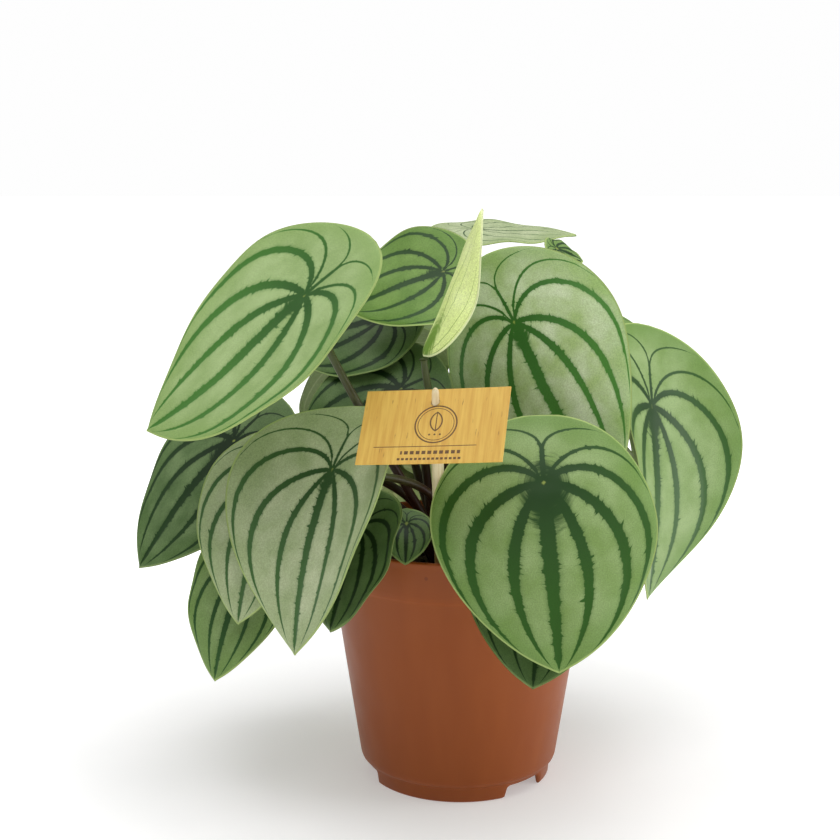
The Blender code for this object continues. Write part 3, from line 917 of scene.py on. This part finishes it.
@dataclass
class Blade:
    """One leaf blade: a fine curved skin fitted to its CAD node, with sunken veins and a soft margin."""

    number: str
    node: bpy.types.Object
    petiole: Petiole
    habit: Habit
    thickness: float = 1.4
    margin_thickness: float = 0.3
    row_pitch: float = 1.35
    column_pitch: float = 2.0
    blotch_at: float = 0.052
    blotch_size: tuple[float, float] = (0.13, 0.085)
    dimple_depth: float = 0.2
    dimple_reach: float = 3.0
    swelling: float = 0.35
    axes: np.ndarray = field(init=False)
    height: np.ndarray = field(init=False)
    outline: np.ndarray = field(init=False)
    span: tuple[float, float] = field(init=False)
    powers: tuple[tuple[int, int], ...] = tuple((i, j) for i in range(5) for j in range(5 - i))

    def __post_init__(self) -> None:
        """Read the node: its axes, the curve of its face and its outline."""
        points, tris = corners_of(self.node)
        normal = np.linalg.svd(points - points.mean(0), full_matrices=False)[2][2]
        if normal @ self.petiole.heading < 0:
            normal = -normal
        start = self.petiole.end
        far = points[np.argmax(np.linalg.norm(points - start, axis=1))] - start
        along = unit(far - normal * (far @ normal))
        self.axes = np.array([along, np.cross(normal, along), normal])
        local = (points - start) @ self.axes.T
        lean = np.cross(local[tris[:, 1]] - local[tris[:, 0]], local[tris[:, 2]] - local[tris[:, 0]])
        facing = np.zeros(len(points))
        np.add.at(facing, tris.ravel(), np.repeat(lean[:, 2], 3))
        terms = np.column_stack([self._terms(local[:, 0], local[:, 1]), np.sign(facing)])
        self.height = np.linalg.lstsq(terms, local[:, 2], rcond=None)[0][:-1]
        self._fit_outline(local, tris, lean[:, 2] > 0)

    def _terms(self, u: np.ndarray, v: np.ndarray) -> np.ndarray:
        """Return the polynomial terms of the face's height at u and v."""
        return np.column_stack([(u / 50.0) ** i * (v / 50.0) ** j for i, j in self.powers])

    def _fit_outline(self, local: np.ndarray, tris: np.ndarray, up: np.ndarray) -> None:
        """Fit the midrib's line and the half width over the length to the node's margin.

        Args:
            local: corners in the blade's own axes.
            tris: triangles.
            up: true where a triangle faces out of the upper face.
        """
        faces_at: dict[tuple[int, int], list[bool]] = {}
        for tri, side in zip(tris.tolist(), up.tolist()):
            for a, b in ((0, 1), (1, 2), (2, 0)):
                faces_at.setdefault(tuple(sorted((tri[a], tri[b]))), []).append(side)
        rim = sorted({v for edge, sides in faces_at.items() if len(set(sides)) == 2 for v in edge})
        u, v = local[rim, 0], local[rim, 1]
        low, high = float(u.min()), float(u.max())
        t = (u - low) / (high - low)
        chord = np.interp(u, [low, 0.0, high], [v[np.argmin(u)], 0.0, v[np.argmax(u)]])
        side = np.sign(v - chord)
        wide = half_width(t)
        powers = np.column_stack([t ** k for k in range(4)])
        terms = np.column_stack([powers, powers * (side * wide)[:, None]])
        weight = np.where((t < 1e-3) | (t > 0.999), 3.0, 1.0)
        self.outline = np.linalg.lstsq(terms * weight[:, None], v * weight, rcond=None)[0]
        self.span = (low, high)

    def _flat(self, t: np.ndarray, s: np.ndarray) -> tuple[np.ndarray, np.ndarray]:
        """Return u and v in mm of points at t along the blade and s from the midrib to the margin."""
        powers = np.column_stack([t ** k for k in range(4)])
        middle = powers @ self.outline[:4]
        half = (powers @ self.outline[4:]) * half_width(t, self.habit.tip_power)
        return self.span[0] + t * (self.span[1] - self.span[0]), middle + s * half

    def _faces(self, rows: int, columns: int) -> tuple[list, list]:
        """Return faces and material numbers of both skins and the margin between them."""
        grid = rows * (columns + 1)
        faces, slots = [], []

        def at(row: int, column: int, under: bool) -> int:
            base = grid + 2 if under else 0
            if row < 0:
                return base + grid
            if row >= rows:
                return base + grid + 1
            return base + row * (columns + 1) + column

        for under in (False, True):
            for row in range(-1, rows):
                for column in range(columns):
                    ring = [at(row, column, under), at(row + 1, column, under),
                            at(row + 1, column + 1, under), at(row, column + 1, under)]
                    ring = [c for k, c in enumerate(ring) if c != ring[k - 1]]
                    faces.append(tuple(ring if under else reversed(ring)))
                    slots.append(int(under))
        for row in range(-1, rows):
            for column in (0, columns):
                ring = [at(row, column, False), at(row + 1, column, False),
                        at(row + 1, column, True), at(row, column, True)]
                faces.append(tuple(ring if column else reversed(ring)))
                slots.append(0)
        return faces, slots

    def build(self, face: bpy.types.Material, back: bpy.types.Material) -> bpy.types.Object:
        """Build the blade.

        Args:
            face: finish of the upper face.
            back: finish of the under face.

        Returns:
            The piece.
        """
        seed = int(self.number)
        length = self.span[1] - self.span[0]
        breadth = 2.0 * float(np.ptp(self._flat(np.full(2, 0.41), np.array([0.0, 1.0]))[1]))
        rows = int(np.clip(length / self.row_pitch, 24, 86)) - 1
        columns = 2 * int(np.clip(breadth / self.column_pitch / 2, 8, 25))
        x = np.arange(1, rows + 1) / (rows + 1)
        t = 0.4 * x + 0.6 * (0.5 - 0.5 * np.cos(math.pi * x))
        y = np.linspace(-1.0, 1.0, columns + 1)
        s = y * (1.25 - 0.25 * y * y)
        t = np.append(np.repeat(t, columns + 1), [0.0, 1.0])
        s = np.append(np.tile(s, rows), [0.0, 0.0])
        u, v = self._flat(t, s)
        w = self._terms(u, v) @ self.height
        step = 0.5
        slope_u = self._terms(u + step, v) @ self.height - self._terms(u - step, v) @ self.height
        slope_v = self._terms(u, v + step) @ self.height - self._terms(u, v - step) @ self.height
        slope_u, slope_v = slope_u / (2 * step), slope_v / (2 * step)
        normal = np.column_stack([-slope_u, -slope_v, np.ones_like(u)])
        normal /= np.linalg.norm(normal, axis=1)[:, None]
        # the same points on the flat plan
        eye = float(np.clip(-self.span[0] / length, 0.02, 0.4))
        reach = length * (1.0 + 0.5 * float(np.mean(slope_u ** 2)))
        plan = VeinPlan(eye, self.habit.tip_power, reach, breadth / length / (2 * HALF_SHARE), seed)
        plan_u, plan_v = t - eye, np.abs(s) * HALF_SHARE * half_width(t, self.habit.tip_power)
        ratios = plan.ratios(plan_u, plan_v, s > 0, self.habit.vein_width)
        gap = np.full(len(u), 1e9)
        for near in plan.margin:
            gap = np.minimum(gap, np.hypot(plan_u - near[0], plan_v - near[1]))
        edge = np.where(np.abs(s) > 0.9999, 0.0, gap * reach * 0.95)
        out = np.hypot(plan_u, plan_v) * reach
        off_u = (plan_u - self.blotch_at) / self.blotch_size[0]
        blotch = 1.0 - np.hypot(off_u, plan_v / self.blotch_size[1]) / self.habit.blotch
        # relief: sunken veins, a dimple at the eye, soft swellings and a waving margin
        depths = np.array([rib.depth for rib in (MIDRIB, *PAIRS, FORK)])
        lift = -(depths * np.exp(-0.55 * ratios ** 2)).max(1) * np.clip(edge / 5.0, 0.0, 1.0)
        lift *= np.clip(out / 14.0, 0.35, 1.0)
        lift -= self.dimple_depth * np.exp(-(out / self.dimple_reach) ** 2)
        rng = np.random.default_rng(100 + seed)
        phase = rng.uniform(0.0, 2 * math.pi, 6)
        lift += self.swelling * np.sin(plan_u * 13.0 + phase[0]) * np.sin(s * 3.1 + phase[1])
        beat = np.where(s > 0, phase[2], phase[3])
        lift += self.habit.wave * s ** 4 * np.sin(t * 15.0 + beat) * np.sin(math.pi * t)
        thick = self.margin_thickness + (self.thickness - self.margin_thickness) * (1 - np.exp(-edge / 1.1))
        local = np.column_stack([u, v, w])
        skins = [local + normal * (lift + sign * 0.5 * thick)[:, None] for sign in (1.0, -1.0)]
        points = np.vstack(skins) @ self.axes + self.petiole.end
        faces, slots = self._faces(rows, columns)
        flat_mm = np.column_stack([plan_u * reach, plan_v * np.sign(s) * reach * plan.breadth,
                                   np.full(len(u), 7.3 * seed)])
        fields = {
            "ribs_a": np.tile(ratios[:, :3], (2, 1)),
            "ribs_b": np.tile(ratios[:, 3:6], (2, 1)),
            "lamina": np.tile(np.column_stack([out, edge, blotch]), (2, 1)),
            "plan": np.tile(flat_mm, (2, 1)),
        }
        piece = make_piece(f"blade_{self.number}", points, faces, [face, back], slots, fields)
        fit_in(piece, "leaf", self.node.name)
        return piece


# ---------------------------------------------------------------- pot
@dataclass
class NurseryPot:
    """The moulded pot: foot ring with drain notches, tapering wall, rim band and raised floor."""

    node: bpy.types.Object
    rim_band: float = 18.0
    band_step: float = 0.6
    wall: float = 1.4
    top_radius: float = 57.2
    shoulder_radius: float = 44.4
    foot_height: float = 8.5
    foot_radius: float = 41.4
    foot_wall: float = 1.6
    floor: float = 1.6
    notch_rise: float = 5.0
    notches: tuple[float, ...] = (-46.0, 74.0, 194.0)
    notch_half: float = 16.0
    segments: int = 192

    def __post_init__(self) -> None:
        """Take the height and the rim's radius from the node."""
        low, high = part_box(self.node.name)
        self.height = high.z / MM
        self.rim_radius = 0.5 * (high.x - low.x) / MM

    def wall_radius(self, height: float) -> float:
        """Return the outside radius of the wall at a height."""
        t = (height - self.foot_height) / (self.height - self.rim_band - self.foot_height)
        return self.shoulder_radius + (self.top_radius - self.shoulder_radius) * t

    def _foot_edge(self, angle: float) -> float:
        """Return the height of the foot's lower edge at an angle in radians."""
        for centre in self.notches:
            off = abs((math.degrees(angle) - centre + 180.0) % 360.0 - 180.0)
            if off < self.notch_half:
                return self.notch_rise * min(1.0, (self.notch_half - off) / 2.5)
        return 0.0

    def _profile(self) -> list[tuple[float, float, bool]]:
        """Return radius, height and whether it is the foot's edge, up the outside and down the inside."""
        top = self.height - self.rim_band
        band = self.wall_radius(top) + self.band_step
        floor_top = self.foot_height + 1.0
        inner = self.foot_radius - self.foot_wall
        rim = self.rim_radius
        under = floor_top - self.floor
        line = [(0.0, under, False), (10.0, under, False),
                (inner - 1.2, under, False), (inner - 0.2, under - 0.8, False),
                (inner, 5.4, False), (inner, 0.5, True), (inner + 0.4, 0.0, True),
                (self.foot_radius - 0.4, 0.0, True), (self.foot_radius, 0.5, True),
                (self.foot_radius + 0.45, 5.6, False),
                (self.foot_radius + 0.8, self.foot_height - 1.7, False),
                (self.foot_radius + 1.4, self.foot_height - 1.2, False),
                (self.shoulder_radius - 1.2, self.foot_height - 0.9, False),
                (self.shoulder_radius - 0.35, self.foot_height - 0.3, False),
                (self.shoulder_radius + 0.08, self.foot_height + 0.9, False)]
        line += [(self.wall_radius(h), h, False)
                 for h in np.linspace(self.foot_height + 3.0, top - 1.2, 16)]
        line += [(self.wall_radius(top) + 0.02, top - 0.35, False),
                 (self.wall_radius(top) + 0.3, top, False),
                 (band - 0.25, top + 0.1, False), (band, top + 0.6, False)]
        line += [(band + (rim - 0.3 - band) * k / 6.0, top + 0.6 + (self.rim_band - 2.4) * k / 6.0, False)
                 for k in range(1, 7)]
        line += [(rim, self.height - 1.1, False), (rim - 0.1, self.height - 0.45, False),
                 (rim - 0.5, self.height - 0.1, False), (rim - 1.1, self.height, False),
                 (rim - 1.7, self.height - 0.15, False), (rim - 2.1, self.height - 0.6, False),
                 (band - 2.0, top + 2.0, False)]
        line += [(self.wall_radius(h) - self.wall, h, False)
                 for h in np.linspace(top - 1.0, floor_top + 4.0, 8)]
        line += [(self.shoulder_radius - self.wall - 1.2, floor_top + 0.6, False),
                 (self.shoulder_radius - self.wall - 2.4, floor_top, False), (0.0, floor_top, False)]
        return line

    def build(self, finish: bpy.types.Material) -> bpy.types.Object:
        """Build the pot.

        Args:
            finish: the moulded plastic.

        Returns:
            The piece.
        """
        points = []
        line = self._profile()
        count = self.segments
        angles = 2 * np.pi * np.arange(count) / count
        lifts = np.array([self._foot_edge(a) for a in angles])
        for radius, height, edge in line:
            # the moulded wall is never quite round
            warp = 0.12 * np.cos(2 * angles + 0.6) + 0.05 * np.cos(5 * angles)
            out = radius + warp * (height / self.height)
            lift = lifts if edge else 0.0
            points.append(np.column_stack([out * np.cos(angles), out * np.sin(angles),
                                           height + lift + 0 * angles]))
        piece = make_piece("nursery_pot", np.vstack(points), bridge(len(line), count), [finish])
        weld(piece)
        fit_in(piece, "pot", self.node.name)
        return piece


def weld(piece: bpy.types.Object) -> None:
    """Join corners that fall together and turn all faces outwards.

    Args:
        piece: the piece to weld.
    """
    bm = bmesh.new()
    bm.from_mesh(piece.data)
    bmesh.ops.remove_doubles(bm, verts=bm.verts, dist=WELD_GAP)
    bmesh.ops.dissolve_degenerate(bm, edges=bm.edges, dist=DEGENERATE)
    bmesh.ops.recalc_face_normals(bm, faces=bm.faces)
    bm.to_mesh(piece.data)
    bm.free()
    piece.data.polygons.foreach_set("use_smooth", [True] * len(piece.data.polygons))


# ---------------------------------------------------------------- soil and crown
@dataclass
class Compost:
    """The plug of peat compost, with crumbs and perlite on top."""

    node: bpy.types.Object
    crumbs: int = 300
    perlite: int = 46
    seed: int = 11

    def build(self, peat: bpy.types.Material, perlite: bpy.types.Material) -> bpy.types.Object:
        """Build the plug and everything that lies loose on it, as one piece.

        Args:
            peat: finish of the compost.
            perlite: finish of the white grains.

        Returns:
            The piece.
        """
        rng = np.random.default_rng(self.seed)
        low, high = (np.array(c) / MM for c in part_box(self.node.name))
        top = high[2]
        radius = 0.5 * (high[0] - low[0])
        count = 96
        angles = 2 * np.pi * np.arange(count) / count
        rows = [(0.78 * radius, low[2]), (0.8 * radius, low[2] + 3.0), (0.93 * radius, top - 30.0),
                (radius - 0.3, top - 4.0)]
        points = [np.column_stack([r * np.cos(angles), r * np.sin(angles), np.full(count, z)])
                  for r, z in rows]
        waves = rng.uniform(0, 2 * math.pi, (9, 2))
        pitch = rng.uniform(0.15, 0.9, (9, 2)) * rng.choice([-1, 1], (9, 2))
        for r in np.linspace(radius - 0.6, 0.0, 34):
            x, y = r * np.cos(angles), r * np.sin(angles)
            bumps = sum(np.sin(x * a + y * b + c) * np.cos(y * a - x * b + d)
                        for (a, b), (c, d) in zip(pitch, waves))
            points.append(np.column_stack([x, y, top - 1.1 + 0.3 * bumps - 1.2 * (r / radius) ** 4]))
        faces = [tuple(reversed(range(count))), *bridge(len(points), count)]
        slots = [0] * len(faces)
        points = np.vstack(points)
        grain_points, grain_faces = self._grain()
        for k in range(self.crumbs + self.perlite):
            white = k >= self.crumbs
            size = rng.uniform(0.7, 1.5) if white else rng.uniform(0.7, 2.4)
            turn, out = rng.uniform(0, 2 * math.pi), (radius - 3.0) * math.sqrt(rng.uniform(0.03, 1.0))
            stretch = rng.uniform(0.6, 1.2, 3) * size
            rough = 1.0 + rng.uniform(-0.22, 0.22, (len(grain_points), 1))
            spin = np.linalg.qr(rng.normal(size=(3, 3)))[0]
            made = (grain_points * rough * stretch) @ spin.T
            place = np.array([out * math.cos(turn), out * math.sin(turn), top - 1.0 + 0.35 * size])
            base = len(points)
            points = np.vstack([points, made + place])
            faces += [tuple(base + c for c in f) for f in grain_faces]
            slots += [int(white)] * len(grain_faces)
        piece = make_piece("compost", points, faces, [peat, perlite], slots)
        fit_in(piece, "soil", self.node.name)
        return piece

    @staticmethod
    def _grain() -> tuple[np.ndarray, list]:
        """Return a twenty-sided grain of radius one."""
        g = (1 + 5 ** 0.5) / 2
        points = [(-1, g, 0), (1, g, 0), (-1, -g, 0), (1, -g, 0), (0, -1, g), (0, 1, g),
                  (0, -1, -g), (0, 1, -g), (g, 0, -1), (g, 0, 1), (-g, 0, -1), (-g, 0, 1)]
        faces = [(0, 11, 5), (0, 5, 1), (0, 1, 7), (0, 7, 10), (0, 10, 11), (1, 5, 9), (5, 11, 4),
                 (11, 10, 2), (10, 7, 6), (7, 1, 8), (3, 9, 4), (3, 4, 2), (3, 2, 6), (3, 6, 8),
                 (3, 8, 9), (4, 9, 5), (2, 4, 11), (6, 2, 10), (8, 6, 7), (9, 8, 1)]
        return np.array(points, float) / math.hypot(1, g), faces


@dataclass
class Crown:
    """The short corky stem between the soil and the petioles, ringed with old leaf scars."""

    node: bpy.types.Object
    seed: int = 5

    def build(self, finish: bpy.types.Material) -> bpy.types.Object:
        """Build the crown.

        Args:
            finish: the corky skin.

        Returns:
            The piece.
        """
        rng = np.random.default_rng(self.seed)
        low, high = (np.array(c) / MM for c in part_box(self.node.name))
        radius = 0.5 * (high[0] - low[0])
        count, rows = 48, 26
        angles = 2 * np.pi * np.arange(count) / count
        scars = [(rng.uniform(0, 2 * math.pi), rng.uniform(0.1, 0.95)) for _ in range(16)]
        points = []
        for k in range(rows):
            t = k / (rows - 1)
            base = radius * np.interp(t, [0, 0.12, 0.4, 0.75, 0.92, 1.0],
                                      [0.75, 0.95, 1.0, 0.96, 0.7, 0.05])
            out = base * (1 + 0.03 * np.sin(3 * angles + 1.0) + 0.02 * np.sin(9 * t * math.pi))
            for turn, high_at in scars:
                off = np.hypot(np.angle(np.exp(1j * (angles - turn))) * 2.6, (t - high_at) * 7.0)
                dent, ridge = np.exp(-(off ** 2)), np.exp(-((off - 1.3) ** 2) * 6)
                out = out - base * 0.05 * dent + base * 0.05 * ridge
            points.append(np.column_stack([out * np.cos(angles), out * np.sin(angles),
                                           np.full(count, low[2] - 0.6 + (high[2] - low[2] + 0.6) * t)]))
        ends = [tuple(reversed(range(count))), tuple((rows - 1) * count + i for i in range(count))]
        faces = ends + bridge(rows, count)
        piece = make_piece("crown_stem", np.vstack(points), faces, [finish])
        fit_in(piece, "crown", self.node.name)
        return piece


# ---------------------------------------------------------------- card and stake
@dataclass
class Stake:
    """The turned dowel that carries the card, with a rounded tip."""

    node: bpy.types.Object
    sides: int = 28
    dome: float = 2.2
    foot: np.ndarray = field(init=False)
    axis: np.ndarray = field(init=False)
    reach: float = field(init=False)
    radii: tuple[float, float] = field(init=False)

    def __post_init__(self) -> None:
        """Read the dowel's line and its radius at both ends from the node."""
        points, _ = corners_of(self.node)
        rough = unit(points[np.argmax(points[:, 2])] - points[np.argmin(points[:, 2])])
        share = points @ rough
        ends = [points[np.abs(share - edge) < 1.2] for edge in (share.min(), share.max())]
        self.foot = ends[0].mean(0)
        self.axis = unit(ends[1].mean(0) - self.foot)
        self.reach = float(np.ptp(share))
        self.radii = tuple(float(np.linalg.norm(e - e.mean(0), axis=1).max()) for e in ends)

    def radius_at(self, along: Any) -> np.ndarray:
        """Return the dowel's radius at distances from its foot."""
        return np.interp(along, [0.0, self.reach * 0.72, self.reach], [self.radii[0], *self.radii])

    def build(self, finish: bpy.types.Material) -> bpy.types.Object:
        """Build the stake.

        Args:
            finish: the raw birch.

        Returns:
            The piece.
        """
        shoulder = self.reach - self.dome
        at = np.concatenate([np.linspace(0.0, shoulder, 30),
                             shoulder + self.dome * np.sin(np.linspace(0.2, 1.56, 8))])
        body = self.radius_at(at)
        cap = np.sqrt(np.clip(1 - ((at - shoulder) / self.dome) ** 2, 0.0, 1.0))
        radii = np.where(at > shoulder, body * cap, body)
        path = self.foot + at[:, None] * self.axis
        made, faces = sweep_tube(path, np.maximum(radii, 0.05), self.sides)
        run = np.column_stack([np.repeat(at, self.sides), (made - np.repeat(path, self.sides, 0))[:, :2]])
        piece = make_piece("stake_dowel", made, faces, [finish], fields={"run": run})
        fit_in(piece, "stake", self.node.name)
        return piece


@dataclass
class PlantCard:
    """The printed plant card, punched with a snug hole and threaded on the stake."""

    node: bpy.types.Object
    stake: Stake
    play: float = 0.2
    bow: float = 0.25
    rings: int = 14

    def build(self, face: bpy.types.Material) -> bpy.types.Object:
        """Build the card as rings that grow from the hole to the cut edge.

        Args:
            face: the printed board.

        Returns:
            The piece.
        """
        points, _ = corners_of(self.node)
        middle = 0.5 * (points.max(0) + points.min(0))
        out = np.linalg.svd(points - points.mean(0), full_matrices=False)[2][2]
        out = out if out[1] < 0 else -out
        corner = points[np.argsort(np.linalg.norm(points - middle, axis=1))[-8:]]
        left, right = corner[corner[:, 0] < middle[0]], corner[corner[:, 0] > middle[0]]
        across = unit(right.mean(0) - left.mean(0))
        axes = np.array([across, unit(np.cross(out, across)), out])
        middle = corner.mean(0)
        size = np.ptp((points - middle) @ axes.T, axis=0)
        half_x, half_y, half_z = 0.5 * size
        # the round dowel meets the leaning card in an ellipse
        foot, axis = axes @ (self.stake.foot - middle), axes @ self.stake.axis
        crossing = (foot - axis * foot[2] / axis[2])[:2]
        radius = float(self.stake.radius_at(-foot[2] / axis[2])) + self.play
        longer = unit(axis[:2])
        corners = [(x, y) for x in (-half_x, half_x) for y in (-half_y, half_y)]
        turns = np.unique(np.round(np.concatenate([
            np.linspace(-math.pi, math.pi, 72, endpoint=False),
            [math.atan2(y - crossing[1], x - crossing[0]) for x, y in corners]]), 4))
        ray = np.column_stack([np.cos(turns), np.sin(turns)])
        room = np.where(ray > 0, 1.0, -1.0) * (half_x, half_y) - crossing
        to_edge = np.abs(room) / np.maximum(np.abs(ray), 1e-9)
        outer = crossing + ray * to_edge.min(1)[:, None]
        stretched = (ray @ longer) * abs(axis[2]), ray @ np.array([-longer[1], longer[0]])
        inner = crossing + ray * (radius / np.hypot(*stretched))[:, None]
        grid = np.vstack([inner + (outer - inner) * k / (self.rings - 1) for k in range(self.rings)])
        count, wide = len(grid), len(turns)
        bend = self.bow * ((grid[:, 0] / half_x) ** 2 - 0.4)
        local = np.vstack([np.column_stack([grid, bend + sign * half_z]) for sign in (1, -1)])
        faces = []
        for i in range(wide):
            j = (i + 1) % wide
            for ring in range(self.rings - 1):
                a, b = ring * wide + i, (ring + 1) * wide + i
                c, d = (ring + 1) * wide + j, ring * wide + j
                faces += [(a, b, c, d), (count + d, count + c, count + b, count + a)]
            last = count - wide
            faces += [(last + i, count + last + i, count + last + j, last + j),
                      (j, count + j, count + i, i)]
        flat = np.column_stack([np.tile(grid, (2, 1)), np.zeros(2 * count)])
        piece = make_piece("plant_card", local @ axes + middle, faces, [face], fields={"card_mm": flat})
        piece.data.polygons.foreach_set("use_smooth", [False] * len(piece.data.polygons))
        fit_in(piece, "card", self.node.name)
        return piece


# ---------------------------------------------------------------- studio
@dataclass
class Studio:
    """Plain white sweep, soft overhead light and the camera."""

    camera_at: tuple[float, float, float] = (-0.0175, -0.654, 0.278)
    pitch: float = 79.9
    lens: float = 64.3
    sensor: float = 36.0
    backdrop: float = 0.99
    zenith: float = 0.5
    horizon: float = 0.2
    key_power: float = 12.0
    side_power: float = 5.5

    def build(self) -> None:
        """Build the floor, the lights and the camera."""
        made, tree = new_material("studio_paper_painted_glow")
        place = add_node(tree, "TexCoord", out=3)
        grain = add_node(tree, "TexNoise", links={"Vector": place, "Scale": 40.0, "Detail": 2.0})
        tint = add_node(tree, "MapRange", links={0: grain, 1: 0.0, 2: 1.0, 3: 0.7, 4: 0.74})
        # painted light: the paper glows, weakly near the plant and strongly away from it, so it brightens
        # away from the plant and the shadow round the pot stays soft
        away = add_node(tree, "VectorMath", {"operation": "LENGTH"}, {0: place}, out=1)
        glow = add_node(tree, "MapRange", SMOOTH,
                        {0: away, 1: 0.12, 2: 0.45, 3: 0.34, 4: 0.88})
        shader = add_node(tree, "BsdfPrincipled", links={
            "Base Color": tint, "Roughness": 0.9, "Emission Color": (1.0, 1.0, 1.0, 1.0),
            "Emission Strength": glow})
        add_node(tree, "OutputMaterial", links={"Surface": shader})
        floor = make_piece("studio_floor", np.array([(-4000, -3000, -0.2), (4000, -3000, -0.2),
                                                     (4000, 9000, -0.2), (-4000, 9000, -0.2)]),
                           [(0, 1, 2, 3)], [made])
        world = bpy.data.worlds.new("studio")
        bpy.context.scene.world = world
        world.use_nodes = True
        tree = world.node_tree
        tree.nodes.clear()
        # bright ceiling, dim walls, and a backdrop that is plain white to look at
        aim = add_node(tree, "SeparateXYZ", links={0: add_node(tree, "TexCoord", out=0)}).node
        glow = add_node(tree, "MapRange", SMOOTH,
                        {0: aim.outputs[2], 1: 0.0, 2: 0.8, 3: self.horizon, 4: self.zenith})
        seen = add_node(tree, "LightPath", out=0)
        glow = add_node(tree, "Mix", links={0: seen, 2: glow, 3: self.backdrop})
        sky = add_node(tree, "Background", links={"Color": (1.0, 1.0, 1.0, 1.0), "Strength": glow})
        add_node(tree, "OutputWorld", links={"Surface": sky})
        self._light("overhead", (0.02, -0.1, 1.2), (0.0, 0.0, 0.1), 1.3, self.key_power)
        self._light("side", (1.12, -0.08, 0.24), (0.0, 0.0, 0.07), 0.6, self.side_power)
        data = bpy.data.cameras.new("camera")
        data.lens, data.sensor_width = self.lens, self.sensor
        camera = bpy.data.objects.new("camera", data)
        camera.location = self.camera_at
        camera.rotation_euler = (math.radians(self.pitch), 0.0, 0.0)
        bpy.context.scene.collection.objects.link(camera)
        bpy.context.scene.camera = camera
        bpy.context.scene.view_settings.view_transform = "Standard"

    def _light(self, name: str, at: Sequence[float], to: Sequence[float], size: float,
               power: float) -> None:
        """Hang one square softbox.

        Args:
            name: the light's name.
            at: where it hangs, in metres.
            to: what it points at, in metres.
            size: its side, in metres.
            power: watts.
        """
        data = bpy.data.lights.new(name, "AREA")
        data.shape, data.size, data.energy = "SQUARE", size, power
        light = bpy.data.objects.new(name, data)
        light.location = at
        light.rotation_euler = (Vector(to) - Vector(at)).to_track_quat("-Z", "Y").to_euler()
        bpy.context.scene.collection.objects.link(light)


def main() -> None:
    """Build the plant on its frame and report each piece."""
    logging.basicConfig(level=logging.INFO, format="%(name)s: %(message)s")
    for obj in list(bpy.data.objects):
        bpy.data.objects.remove(obj, do_unlink=True)
    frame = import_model()
    nodes = frame["nodes"]
    Studio().build()
    faces = {tone: finish.build() for tone, finish in TONES.items()}
    back, skin = LeafBack().build(), StalkSkin().build()
    NurseryPot(nodes["pot"]).build(MouldedPolypropylene().build())
    peat = RoughGround("compost_peat_loose", "#1d120b", "#4a3122", 2.2).build()
    perlite = RoughGround("perlite_expanded", "#b9b4a8", "#e6e3da", 0.8, 0.15, 0.85).build()
    Compost(nodes["soil"]).build(peat, perlite)
    cork = RoughGround("crown_cork_grown", "#4a3320", "#8a7045", 2.0, 0.3, 0.8).build()
    Crown(nodes["crown"]).build(cork)
    stake = Stake(nodes["label_stake"])
    stake.build(TurnedBirch().build())
    PlantCard(nodes["label_card"], stake).build(PrintedBoard().build())
    for name in sorted(n for n in nodes if n.startswith("leaf_")):
        number = name[-2:]
        petiole = Petiole(number, nodes["petiole_" + number])
        petiole.build(skin)
        habit = HABITS.get(number, Habit())
        Blade(number, nodes[name], petiole, habit).build(faces[habit.tone], back)


if __name__ == "__main__":
    main()
